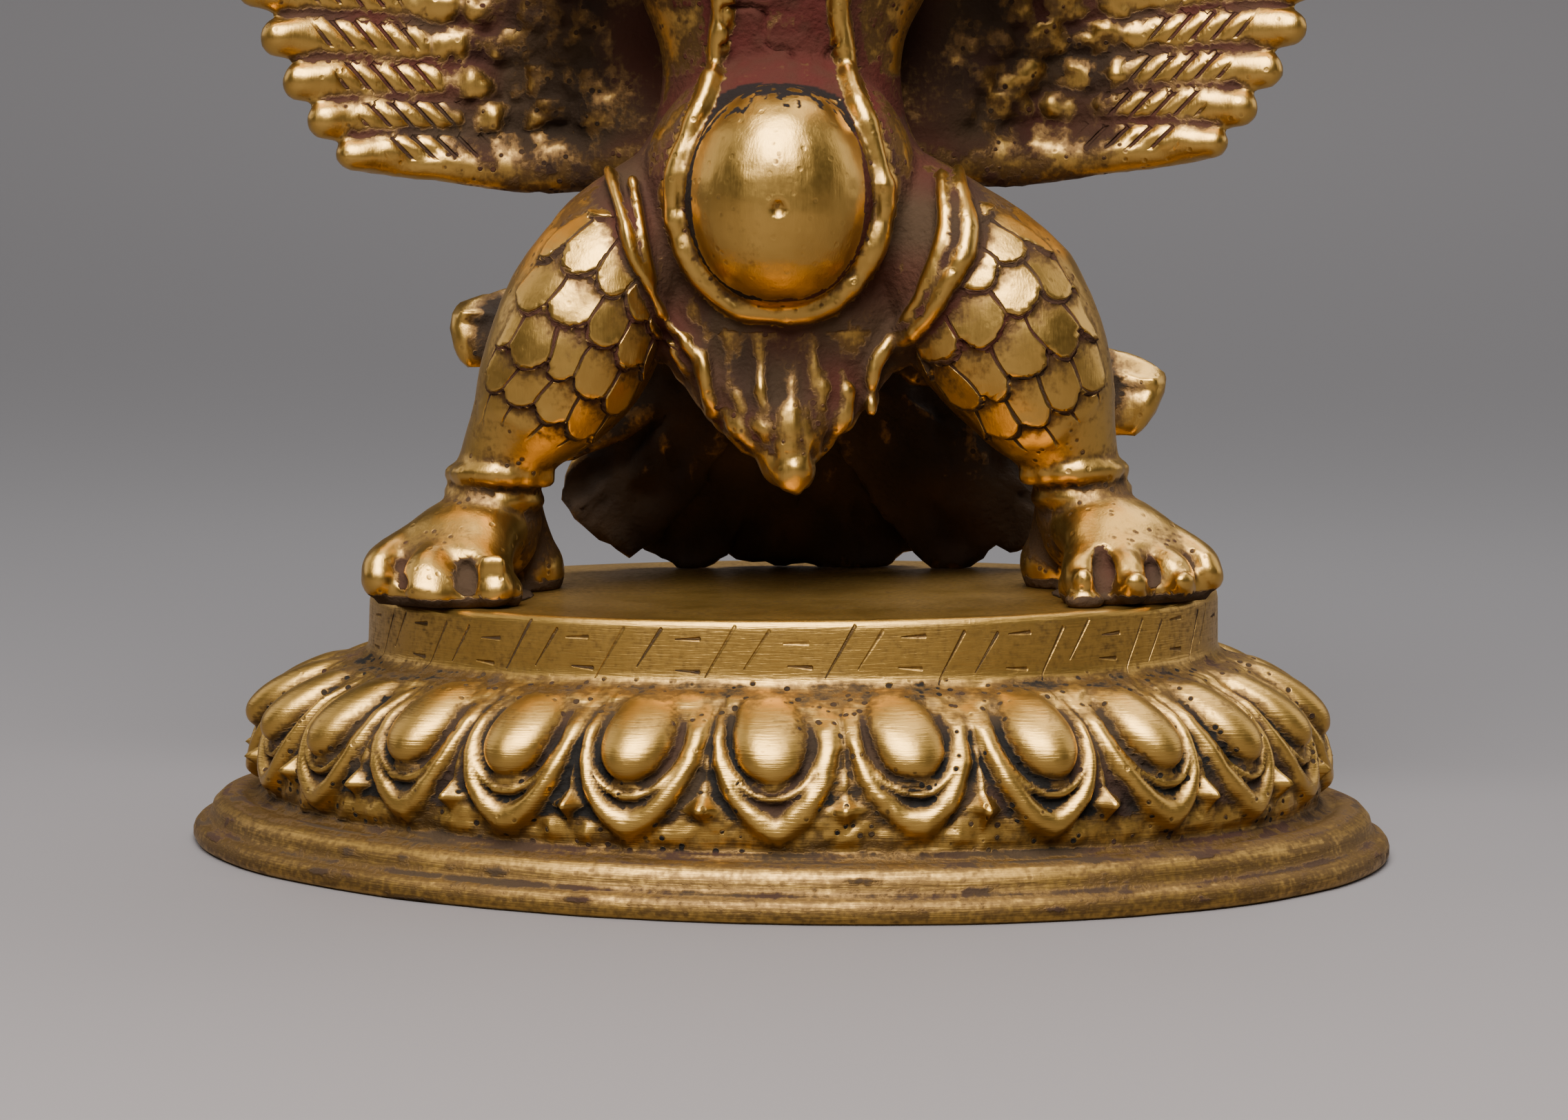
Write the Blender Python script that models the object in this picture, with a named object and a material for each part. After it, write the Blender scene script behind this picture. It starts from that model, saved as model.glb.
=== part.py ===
"""A cast brass garuda statue: an oval lotus base, and the winged figure that stands on it.

Metres, +Z up. The origin is the middle of the base's underside. The figure faces -Y.
The figure is modelled in millimetres on a body HEIGHT_DRAWN tall, and every point is a share of FIGURE_HEIGHT.
"""

import math

import bmesh
import bpy
import numpy as np
from mathutils import Euler, Matrix

# The lotus base: an oval foot moulding, a band of petals and a plain plinth
BASE_WIDTH = 0.092
BASE_DEPTH = 0.066
RIM_HEIGHT = 0.0014
STEP_HEIGHT = 0.0025
STEP_INSET = 0.0024
PETAL_BAND_HEIGHT = 0.0109
PETAL_BAND_INSET = 0.0056
PETAL_COUNT = 26
PETAL_RELIEF = 0.0023
PLINTH_WIDTH = 0.065
PLINTH_DEPTH = 0.0444
PLINTH_HEIGHT = 0.0048

# The figure, cast in one with its wings and tail
FIGURE_HEIGHT = 0.104
SOLDER_GAP = 0.0003

# The casting's own lean: the plinth rises to the figure's left, and the figure stands off the middle
PLINTH_SLOPE = 0.02
FIGURE_SHIFT = 0.0014
FIGURE_TURN = 1.7

# How finely the solids are faceted
COLUMNS_PER_PETAL = 6
VOXELS_PER_FIGURE = 190
FIGURE_TRIANGLES = 5900

HEIGHT_DRAWN = 104.0
PLINTH_TOP = RIM_HEIGHT + STEP_HEIGHT + PETAL_BAND_HEIGHT + PLINTH_HEIGHT
FRONT = (0, -1, 0)


def clear_scene():
    for obj in list(bpy.data.objects):
        bpy.data.objects.remove(obj)


def brass(name, colour, roughness):
    material = bpy.data.materials.new(name)
    material.use_nodes = True
    shader = material.node_tree.nodes["Principled BSDF"]
    shader.inputs["Base Color"].default_value = (*colour, 1)
    shader.inputs["Metallic"].default_value = 1.0
    shader.inputs["Roughness"].default_value = roughness
    return material


def add_object(name, mesh, material):
    mesh.materials.append(material)
    obj = bpy.data.objects.new(name, mesh)
    bpy.context.scene.collection.objects.link(obj)
    return obj


# Forms: each is (points, faces), closed and facing outwards, in the figure's drawn millimetres


def smooth_rows(rows, count):
    """Rows read from a Catmull-Rom curve through the given rows. Widths in a row go along with its place."""
    rows = np.array(rows, float)
    ends = np.vstack([2 * rows[0] - rows[1], rows, 2 * rows[-1] - rows[-2]])
    found = []
    for t in np.linspace(0, len(rows) - 1, count):
        i = min(int(t), len(rows) - 2)
        f = t - i
        a, b, c, d = ends[i : i + 4]
        found.append(
            b + 0.5 * ((c - a) * f + (2 * a - 5 * b + 4 * c - d) * f**2 + (3 * b - a - 3 * c + d) * f**3)
        )
    return np.array(found)


def strand(rows, face=FRONT, sides=10, rings=12):
    """A closed limb along rows of x, y, z, half width, half thickness. Its thickness lies towards face."""
    rows = smooth_rows(rows, rings)
    along = np.gradient(rows[:, :3], axis=0)
    along /= np.linalg.norm(along, axis=1)[:, None]
    face = np.array(face, float)
    thick = face - (along @ face)[:, None] * along
    thick /= np.linalg.norm(thick, axis=1)[:, None]
    wide = np.cross(along, thick)
    turns = np.linspace(0, 2 * math.pi, sides, endpoint=False)
    loops = []
    for end, order in ((0, (80, 50, 25)), (None, None), (-1, (25, 50, 80))):
        if end is None:
            shares = [(i, 0.0, 1.0) for i in range(rings)]
        else:
            sign = -1 if end == 0 else 1
            shares = [
                (end, sign * math.sin(math.radians(d)), math.cos(math.radians(d)))
                for d in order
            ]
        for i, out, size in shares:
            centre = rows[i, :3] + along[i] * out * min(rows[i, 3:5])
            loops.append(
                centre
                + np.outer(np.cos(turns), wide[i] * rows[i, 3] * size)
                + np.outer(np.sin(turns), thick[i] * rows[i, 4] * size)
            )
    points = np.vstack(loops)
    faces = []
    for ring in range(len(loops) - 1):
        for k in range(sides):
            a, b = ring * sides + k, ring * sides + (k + 1) % sides
            faces.append((a, b, b + sides, a + sides))
    faces.append(tuple(reversed(range(sides))))
    faces.append(tuple(range(len(points) - sides, len(points))))
    return points, faces


def ball(centre, radii, turn=(0, 0, 0)):
    """A closed ellipsoid, turned by degrees about X, Y and Z."""
    bm = bmesh.new()
    bmesh.ops.create_uvsphere(bm, u_segments=16, v_segments=10, radius=1)
    turned = Euler([math.radians(a) for a in turn]).to_matrix().to_4x4()
    bm.transform(Matrix.Translation(centre) @ turned @ Matrix.Diagonal((*radii, 1)))
    points = np.array([v.co for v in bm.verts])
    faces = [tuple(v.index for v in f.verts) for f in bm.faces]
    bm.free()
    return points, faces


def mirrored(form):
    points, faces = form
    return points * (-1, 1, 1), [tuple(reversed(f)) for f in faces]


def both_sides(forms):
    return forms + [mirrored(form) for form in forms]


# Legs and feet


def leg_forms():
    limb = strand(
        [
            (8, 0, 32, 6.5, 6.5),
            (11.5, -2.5, 28, 6.9, 6.9),
            (14, -4.3, 24, 7.2, 7.0),
            (16.2, -5.3, 19, 6.4, 6.2),
            (18, -5, 15, 5.2, 5.0),
            (20, -4.2, 11.5, 3.9, 3.9),
            (21.6, -3.6, 8.5, 3.4, 3.4),
            (22, -3.2, 4.5, 3.5, 3.5),
        ],
        sides=14,
        rings=16,
    )
    anklet = ball((21.8, -3.5, 7.9), (4.3, 4.2, 1.3), (0, -6, 0))
    instep = strand(
        [(21.8, -2.6, 5.4, 3.3, 3.1), (23.8, -6.6, 3.8, 4.3, 2.7), (25.2, -9.6, 2.5, 5.0, 1.9)],
        face=(0, 0, 1),
    )
    heel = ball((21, 0.4, 1.9), (3.3, 3.6, 3.2))
    toes = [
        strand([(21.6, -8, 3.1, 1.8, 1.8), (20.6, -11.5, 2.4, 1.8, 1.7), (20.2, -13.6, 1.2, 1.5, 1.3)]),
        strand([(23.6, -8.4, 3.2, 1.9, 1.8), (24.2, -12.2, 2.5, 1.9, 1.7), (24.5, -14.6, 1.2, 1.5, 1.3)]),
        strand([(25.8, -8, 3.1, 1.9, 1.8), (27.8, -11.2, 2.4, 1.9, 1.7), (28.6, -13.2, 1.2, 1.5, 1.3)]),
        strand([(27, -6.6, 2.9, 1.8, 1.7), (29.8, -8.6, 2.3, 1.8, 1.6), (31, -10, 1.3, 1.5, 1.3)]),
    ]
    return [limb, anklet, instep, heel, *toes]


# Torso, belly and the feathered apron


TORSO_ROWS = [
    (0, 1.5, 20, 8.0, 6.0),
    (0, 0, 25, 12.0, 8.4),
    (0, -0.6, 30, 12.6, 8.8),
    (0, 0, 35.5, 9.4, 7.6),
    (0, 0, 41, 9.2, 7.0),
    (0, 0, 47, 11.6, 7.6),
    (0, 0, 54, 13.4, 8.0),
    (0, 0.4, 59, 11.6, 6.6),
    (0, 0.2, 64, 6.2, 5.4),
]
BELLY = ((0, -4.5, 29.8), (10.6, 8.0, 11.0))
DOME = ((0, -8.4, 29.8), (6.0, 8.8, 7.8))


def front_of_torso(x, z):
    """The y of the torso's and belly's front surface at x and z."""
    rows = smooth_rows(TORSO_ROWS, 60)
    y, half, deep = (np.interp(z, rows[:, 2], rows[:, k]) for k in (1, 3, 4))
    found = y - deep * math.sqrt(max(0.05, 1 - (x / half) ** 2))
    (_, by, bz), (rx, ry, rz) = BELLY
    inside = 1 - (x / rx) ** 2 - ((z - bz) / rz) ** 2
    return min(found, by - ry * math.sqrt(inside)) if inside > 0 else found


def belly_cord_forms():
    """The notched cord that runs down the chest and round the belly."""
    half = [(0, 21.3), (3.4, 21.9), (6.3, 24.3), (7.9, 28), (7.9, 31.2), (6.8, 34.6), (5.6, 37.6)]
    half += [(4.7, 41), (4.4, 45), (5.2, 50), (7.2, 55), (8.6, 59)]
    rows = [(x, front_of_torso(x, z) - 0.7, z, 1.1, 1.5) for x, z in half]
    return [strand(rows, sides=8, rings=30)]


def torso_forms():
    trunk = strand(TORSO_ROWS, sides=20, rings=20)
    hems = [
        strand([(x, y, z, 1.1, 1.3) for x, y, z in ((12.2, -4, 33.5), (13.2, -6.8, 28.5), (11.2, -9, 23.4), (8, -9.4, 18.8))]),
        strand([(x, y, z, 1.0, 1.3) for x, y, z in ((10, -5.6, 34), (10.6, -8.4, 28.8), (9, -9.8, 23.6), (6.4, -10, 19.5))]),
        ball((8.6, -3.0, 26.5), (4.4, 4.6, 8.2), (0, -10, 0)),
    ]
    return [trunk, ball(*BELLY), ball(*DOME), *both_sides(hems + belly_cord_forms())]


def apron_forms():
    cloth = strand(
        [
            (0, -3, 25, 10.4, 6.4),
            (0, -4.6, 20, 9.8, 5.4),
            (0, -6.0, 16, 7.4, 3.8),
            (0, -7.6, 12.4, 4.4, 2.8),
            (0, -8.8, 9.8, 1.9, 1.8),
        ],
        sides=16,
    )
    tips = [
        strand([(8, -8, 19.5, 1.8, 1.8), (7, -8.4, 16, 1.7, 1.6), (6.0, -8.6, 13.8, 0.9, 0.9)]),
        strand([(3.8, -9.4, 20, 1.6, 1.6), (3.2, -9.6, 15.8, 1.5, 1.4), (2.6, -9.8, 12.6, 0.9, 0.8)]),
    ]
    return [cloth, *both_sides(tips)]


# Tail: broad feathers that fan out behind the legs


def tail_forms(feathers=9, spread=82):
    forms = [strand([(0, 5, 30, 7, 4), (0, 8, 23, 8, 3.4), (0, 11, 16, 8, 2.4)])]
    for k in range(feathers):
        turn = math.radians(spread * (2 * k / (feathers - 1) - 1))
        side, down = math.sin(turn), math.cos(turn)
        reach = 19.6 + 9 * side**4
        rows = []
        for share, half in ((0.25, 3), (0.6, 4.6), (0.86, 5.0), (0.96, 4.4)):
            x = side * reach * share
            z = 21 - down * reach * share
            y = 9.6 + 7.4 * share * (0.35 + 0.65 * max(0, down)) - 1.2 * (share > 0.9) * abs(side)
            rows.append((x, y + 0.5 * (k % 2), z, half, 1.15))
        forms.append(strand(rows, face=(0, -1, 0.3), sides=10, rings=8))
    return forms


# Wings: a row of long primaries and two rows of coverts on a thick arm


PRIMARY_TIPS = [(34.2, 33.9), (37.4, 38), (40, 42.8), (42.8, 48.5), (44.8, 56), (45.4, 64), (43.8, 72), (39.8, 79), (33.6, 84.4)]
PRIMARY_ROOTS = [(15, 34.6), (17.5, 38), (19.5, 42), (21, 46), (22, 50.5), (22, 55.5), (21, 60), (19, 64), (16, 67.5)]


def wing_depth(share):
    """The y of the wing's middle, from its root to its tips, which cup forwards."""
    return 9.4 + 1.2 * math.sin(math.pi * share) - 3.6 * share**2


def wing_forms(primaries=11):
    tips = smooth_rows(PRIMARY_TIPS, primaries)
    roots = smooth_rows(PRIMARY_ROOTS, primaries)
    forms = [
        strand(
            [(9, 7.5, 36, 5, 2.2), (12, 9, 42, 9, 2.3), (14, 9.4, 52, 11, 2.4), (15.5, 9.4, 61, 9, 2.3), (20, 9, 70, 6, 2.0)],
            sides=14,
        ),
        strand([(8, 4, 57, 4, 3.4), (13, 7, 64, 3.6, 3), (20, 8.4, 72, 3, 2.6), (28, 7.6, 79.5, 2.4, 2.2)]),
        strand([(7, 6.5, 34, 3, 2), (14, 9, 33.2, 3, 1.6), (24, 9, 33.4, 2.4, 1.4)]),
    ]
    for tip, root in zip(tips, roots):
        rows = []
        for share, half in ((0.0, 1.9), (0.45, 2.5), (0.8, 2.5), (0.95, 2.0)):
            x, z = root + (tip - root) * share
            rows.append((x, wing_depth(0.35 + 0.65 * share), z, half, 1.25))
        forms.append(strand(rows, sides=10, rings=8))
    for row, (near, far, half, lift) in enumerate(((-0.1, 0.42, 2.7, 1.0), (-0.5, 0.08, 2.7, 1.5))):
        for tip, root in zip(tips[row::1], roots[row::1]):
            reach = tip - root
            rows = [
                (*(root + reach * near), half * 0.8, 1.1),
                (*(root + reach * (near + far) / 2), half, 1.1),
                (*(root + reach * far), half * 0.85, 1.0),
            ]
            rows = [(x, wing_depth(0.3 + 0.4 * far) - lift, z, w, t) for x, z, w, t in rows]
            forms.append(strand(rows, sides=8, rings=5))
    return both_sides(forms)


# Arms, with a snake held across the chest and through the beak


def arm_forms():
    upper = strand([(11.5, 0, 58.5, 4, 4), (16.5, -0.6, 57, 3.8, 3.8), (19.4, -2, 52.6, 3.2, 3.2), (20.2, -3.6, 49.6, 3, 3)])
    fore = strand([(20.2, -3.4, 49.4, 3, 3), (17.6, -8.4, 52, 2.7, 2.7), (13.4, -11.6, 56.4, 2.2, 2.2)])
    hand = ball((12, -12.6, 58.4), (2.7, 2.4, 3.0), (0, -30, 0))
    armlet = ball((18.2, -1.2, 55), (4.2, 4.2, 1.2), (0, 35, 0))
    bangle = ball((14.6, -10.8, 55.2), (2.9, 2.9, 0.9), (35, -40, 0))
    fingers = [
        strand([(10.4, -13.2, 57 + k, 0.8, 0.8), (11.4, -15.2, 57.4 + k, 0.8, 0.8), (13.4, -14.4, 57.6 + k, 0.8, 0.8)], sides=6, rings=6)
        for k in (0, 1.5, 3)
    ]
    return both_sides([upper, fore, hand, armlet, bangle, *fingers])


def snake_forms():
    half = [(0, -16.4, 66.2), (4.4, -16, 65.6), (8.6, -14.6, 63), (11.4, -13.6, 58.6), (12.6, -13, 54), (11, -12.4, 50.4), (8.2, -11.2, 49.8)]
    rows = [(*p, 1.3 - 0.35 * max(0, k - 4) / 2, 1.3 - 0.35 * max(0, k - 4) / 2) for k, p in enumerate(half)]
    return both_sides([strand(rows, sides=8, rings=24)])


# Head: beak, horns, ears, crest of flame-like locks


def head_forms():
    beak_top = strand(
        [(0, -7, 71.4, 4.0, 3.4), (0, -12.4, 71, 3.2, 2.9), (0, -16.4, 69, 2.2, 2.2), (0, -17.6, 65.8, 1.0, 1.2)],
        face=(0, 0, 1),
    )
    beak_low = strand([(0, -6, 66.6, 3.2, 2), (0, -11, 65.6, 2.5, 1.6), (0, -14, 64.6, 1.5, 1.1)], face=(0, 0, 1))
    collar = ball((0, 0, 63.4), (8.6, 7.6, 2.0), (8, 0, 0))
    sides = [
        ball((4.5, -8.2, 73.6), (2.3, 1.9, 2.1)),
        strand([(1.4, -9.6, 75.6, 1, 0.9), (4.6, -9.8, 76.8, 1.1, 1), (7.6, -7, 78, 1, 0.9), (9.4, -4.6, 80.2, 0.6, 0.6)], sides=8),
        ball((9.2, -0.4, 72), (1.8, 2.6, 3.4), (0, 12, 0)),
        ball((9.8, -1.2, 67.4), (1.7, 1.7, 2.0)),
        strand([(4.6, -2.6, 80, 2.2, 2.2), (8.8, -3, 84.4, 1.9, 1.9), (10, -3, 89.4, 1.4, 1.4), (7.8, -3, 94, 0.7, 0.7)]),
        strand([(7, 3, 78, 2.4, 2), (11, 4.4, 81.6, 1.8, 1.6), (11.6, 4.4, 86.2, 0.8, 0.8)]),
        strand([(6, -7.6, 67, 1.4, 1.2), (9.2, -8, 65, 1.2, 1), (10.6, -7.4, 67.6, 0.7, 0.6)], sides=8),
    ]
    crest = [
        ball((0, -1.4, 72.4), (9.2, 9.0, 9.2)),
        strand([(0, -2, 78, 6.6, 6), (0, -0.6, 84, 5.6, 5), (0, 0.6, 90, 4, 3.6), (0, 0.8, 95.5, 1.8, 1.8)]),
        strand([(3, 1, 84, 2.4, 2.4), (5.8, 1.6, 90, 1.8, 1.8), (4.6, 1.6, 95.4, 0.7, 0.7)]),
        strand([(-3, 1, 84, 2.4, 2.4), (-5.8, 1.6, 90, 1.8, 1.8), (-4.6, 1.6, 95.4, 0.7, 0.7)]),
        ball((0, -5.6, 84.6), (2.0, 1.6, 2.9)),
        ball((0, 0.8, 99.4), (2.3, 2.3, 3.4)),
        strand([(0, 0.8, 100, 1.4, 1.4), (0, 0.8, 102, 0.9, 0.9), (0, 0.8, 103.4, 0.4, 0.4)], sides=8, rings=5),
    ]
    return [beak_top, beak_low, collar, *crest, *both_sides(sides)]


def figure_mesh():
    forms = [
        *both_sides(leg_forms()),
        *torso_forms(),
        *apron_forms(),
        *tail_forms(),
        *wing_forms(),
        *arm_forms(),
        *snake_forms(),
        *head_forms(),
    ]
    points, faces = [], []
    for form_points, form_faces in forms:
        start = sum(len(p) for p in points)
        points.append(form_points)
        faces += [tuple(start + i for i in face) for face in form_faces]
    scale = FIGURE_HEIGHT / HEIGHT_DRAWN
    points = np.vstack(points) @ np.array(Matrix.Rotation(math.radians(FIGURE_TURN), 3, "Z")).T
    sway = np.sin(np.clip(points[:, 2] / 34, 0, 1) * math.pi / 2)
    points = points * scale + (0, 0, PLINTH_TOP)
    points[:, 0] -= FIGURE_SHIFT * sway
    mesh = bpy.data.meshes.new("garuda_figure")
    mesh.from_pydata(points.tolist(), [], faces)
    return mesh


def evaluated_mesh(obj):
    graph = bpy.context.evaluated_depsgraph_get()
    return bpy.data.meshes.new_from_object(obj.evaluated_get(graph))


def cut_flat_below(mesh, height):
    """Cuts the soles off level, just above the plinth."""
    bm = bmesh.new()
    bm.from_mesh(mesh)
    everything = bm.verts[:] + bm.edges[:] + bm.faces[:]
    bmesh.ops.bisect_plane(bm, geom=everything, dist=1e-7, plane_co=(0, 0, height), plane_no=(0, 0, -1), clear_outer=True)
    rims = [e for e in bm.edges if e.is_boundary]
    filled = bmesh.ops.holes_fill(bm, edges=rims)["faces"]
    bmesh.ops.triangulate(bm, faces=filled)
    bm.to_mesh(mesh)
    bm.free()


def lean(mesh):
    """Raises the plinth and all above it to one side, the foot staying flat."""
    for vertex in mesh.vertices:
        vertex.co.z += PLINTH_SLOPE * vertex.co.x * min(1, vertex.co.z / PLINTH_TOP)


def make_figure(material):
    """Fuses the overlapping forms into one skin, softens it as a casting is, and facets it."""
    obj = add_object("garuda_figure", figure_mesh(), material)
    fuse = obj.modifiers.new("fuse", "REMESH")
    fuse.mode = "VOXEL"
    fuse.voxel_size = FIGURE_HEIGHT / VOXELS_PER_FIGURE
    soften = obj.modifiers.new("soften", "SMOOTH")
    soften.iterations = 3
    soften.factor = 0.5
    skin = evaluated_mesh(obj)
    skin.calc_loop_triangles()
    facet = obj.modifiers.new("facet", "DECIMATE")
    facet.ratio = FIGURE_TRIANGLES / len(skin.loop_triangles)
    faceted = evaluated_mesh(obj)
    obj.modifiers.clear()
    obj.data = faceted
    cut_flat_below(faceted, PLINTH_TOP + SOLDER_GAP)
    lean(faceted)
    faceted.shade_smooth()
    faceted.set_sharp_from_angle(angle=math.radians(50))


# Lotus base: oval rings, the petals raised from the band between the foot and the plinth


def petal_relief(across, down):
    """How far a petal stands out, from 0 to 1, at across from -1 to 1 and down from 0 at its top to 1 at its tip."""
    boss = math.sqrt(max(0, 1 - (across / 0.66) ** 2 - ((down - 0.34) / 0.36) ** 2))
    from_lip = (down - 0.84 + 0.36 * across**2) / 0.2
    lip = 0.5 * max(0, 1 - from_lip**2) * (1 - across**4)
    return max(boss, lip)


def base_rings():
    """(half width, height, share of the petals' relief, how far down the petal) of each ring, from the underside up."""
    rim, plinth = BASE_WIDTH / 2, PLINTH_WIDTH / 2
    step_top = RIM_HEIGHT + STEP_HEIGHT
    band = rim - PETAL_BAND_INSET
    shoulder = plinth + 0.0006
    band_top = step_top + PETAL_BAND_HEIGHT
    rings = [
        (rim, 0, 0, 0),
        (rim, RIM_HEIGHT * 0.75, 0, 0),
        (rim - STEP_INSET * 0.75, RIM_HEIGHT + STEP_HEIGHT * 0.35, 0, 0),
        (rim - STEP_INSET, step_top - STEP_HEIGHT * 0.15, 0, 0),
        (band + 0.0002, step_top, 0, 0),
    ]
    for down in (0.98, 0.84, 0.7, 0.52, 0.34, 0.16, 0.03):
        rise = 1 - down
        half = shoulder + (band - shoulder) * math.cos(rise**1.5 * math.pi / 2) ** 0.8
        rings.append((half, step_top + (band_top - step_top) * rise, 1, down))
    rings += [(plinth, band_top, 0, 0), (plinth, PLINTH_TOP, 0, 0)]
    return rings


def make_base(material):
    rim, plinth = BASE_WIDTH / 2, PLINTH_WIDTH / 2
    count = PETAL_COUNT * COLUMNS_PER_PETAL
    rings = base_rings()
    points = []
    for half, height, raised, down in rings:
        share = (half - plinth) / (rim - plinth)
        deep = PLINTH_DEPTH / 2 + (BASE_DEPTH - PLINTH_DEPTH) / 2 * share
        for column in range(count):
            turn = 2 * math.pi * column / count
            across = 2 * ((column / COLUMNS_PER_PETAL + 0.5) % 1) - 1
            out = PETAL_RELIEF * raised * petal_relief(across, down) if raised else 0
            points.append(((half + out) * math.sin(turn), -(deep + out) * math.cos(turn), height))
    faces = []
    for ring in range(len(rings) - 1):
        for k in range(count):
            a, b = ring * count + k, ring * count + (k + 1) % count
            faces.append((a, b, b + count, a + count))
    faces.append(tuple(reversed(range(count))))
    faces.append(tuple(range(len(points) - count, len(points))))
    mesh = bpy.data.meshes.new("lotus_base")
    mesh.from_pydata(points, [], faces)
    lean(mesh)
    mesh.shade_smooth()
    mesh.set_sharp_from_angle(angle=math.radians(50))
    add_object("lotus_base", mesh, material)


clear_scene()
make_base(brass("filed brass", (0.50, 0.31, 0.10), 0.38))
make_figure(brass("rubbed brass", (0.55, 0.34, 0.11), 0.34))
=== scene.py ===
"""The looks of a small cast brass garuda: its lotus base, the winged figure brazed to it, and a plain studio.

Lengths are millimetres until a finished mesh is put in the frame, which is in metres.
"""

import math

import bmesh
import bpy
import numpy as np
from mathutils import Euler, Matrix, Vector
from mathutils.bvhtree import BVHTree


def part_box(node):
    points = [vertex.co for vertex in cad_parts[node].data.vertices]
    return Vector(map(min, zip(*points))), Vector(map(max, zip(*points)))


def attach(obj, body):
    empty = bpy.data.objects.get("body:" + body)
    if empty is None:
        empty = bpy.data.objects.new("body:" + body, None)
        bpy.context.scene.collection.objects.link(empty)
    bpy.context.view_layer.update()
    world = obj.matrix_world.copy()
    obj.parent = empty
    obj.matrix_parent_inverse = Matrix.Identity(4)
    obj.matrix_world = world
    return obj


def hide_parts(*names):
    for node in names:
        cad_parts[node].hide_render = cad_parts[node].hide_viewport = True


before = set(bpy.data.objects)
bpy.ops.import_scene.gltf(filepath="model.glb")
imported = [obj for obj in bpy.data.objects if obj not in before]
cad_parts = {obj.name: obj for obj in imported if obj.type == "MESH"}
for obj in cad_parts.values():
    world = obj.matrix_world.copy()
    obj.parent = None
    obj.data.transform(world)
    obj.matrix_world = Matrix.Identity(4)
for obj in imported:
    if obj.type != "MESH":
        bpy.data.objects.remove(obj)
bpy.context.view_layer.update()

# Lotus base. One oval brass casting, probably hollow, on a filed foot rim. A ring of hand-modelled lotus petals
# is cast on it, and a plinth with a filed wall and generic chased strokes rises from the petals.

MM = 0.001
base_low, base_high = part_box("lotus_base")
RIM = np.array([base_high.x - base_low.x, base_high.y - base_low.y]) / 2 / MM
PLINTH = np.array([32.5, 22.2])
PLINTH_SLOPE = 0.02
PLINTH_TOP = base_high.z / MM - PLINTH_SLOPE * PLINTH[0]
PLINTH_FOOT = PLINTH_TOP - 4.8
LEDGE_TOP = 3.9
BAND_FOOT = LEDGE_TOP + 0.3
PLAIN_BAND_TOP = 6.6
BAND = RIM[0] - 5.6
PETALS = 26
COLUMNS = 40
PETAL_WIDTH = 2 * math.pi * BAND / PETALS
# How far below the plinth's top the middle of each form of a petal lies.
BOSS_DOWN, LIP_DOWN, STUD_DOWN, TIP_DOWN = 7.7, 10.6, 12.4, 13.1


def hashed(cells, seed):
    """A random number from 0 to 1 for each row of whole numbers."""
    return np.sin(cells @ (12.9898, 78.233, 37.719) + seed * 7.13) * 43758.5453 % 1


def grain(points, size, seed=0):
    """Smooth noise from 0 to 1 that changes over about size."""
    cell = points / size
    low = np.floor(cell)
    share = (cell - low) ** 2 * (3 - 2 * (cell - low))
    total = np.zeros(len(points))
    for corner in np.ndindex(2, 2, 2):
        weight = np.prod(np.where(corner, share, 1 - share), axis=1)
        total += weight * hashed(low + corner, seed)
    return total


def ridge(distance, half):
    """A smooth ridge: 1 where distance is 0, falling off over about half to each side."""
    return np.exp(-((distance / half) ** 2))


def profile_points():
    """Height and half width of the base along its outline, from the underside's edge to the plinth's top."""
    foot = [(0, RIM[0] - 0.5), (0.3, RIM[0]), (1.1, RIM[0]), (1.55, RIM[0] - 0.3), (1.8, RIM[0] - 1.0)]
    foot += [(2.1, RIM[0] - 1.3), (2.9, RIM[0] - 1.5), (3.5, RIM[0] - 2.1), (3.85, RIM[0] - 3.1)]
    foot += [(3.8, RIM[0] - 3.9), (3.55, RIM[0] - 4.4), (3.7, RIM[0] - 4.9)]
    shoulder = PLINTH[0] + 0.6
    band = []
    for rise in np.linspace(0.03, 0.97, 30):
        half = shoulder + (BAND - shoulder) * math.cos(rise**1.5 * math.pi / 2) ** 0.8
        band.append((LEDGE_TOP + (PLINTH_FOOT - LEDGE_TOP) * rise, half))
    wall = [(PLINTH_FOOT + 0.1, PLINTH[0] + 0.5), (PLINTH_FOOT + 0.7, PLINTH[0] + 0.1)]
    wall += [(PLINTH_TOP - 0.5, PLINTH[0]), (PLINTH_TOP - 0.12, PLINTH[0] - 0.1), (PLINTH_TOP, PLINTH[0] - 0.5)]
    return np.array(foot + band + wall)


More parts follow.
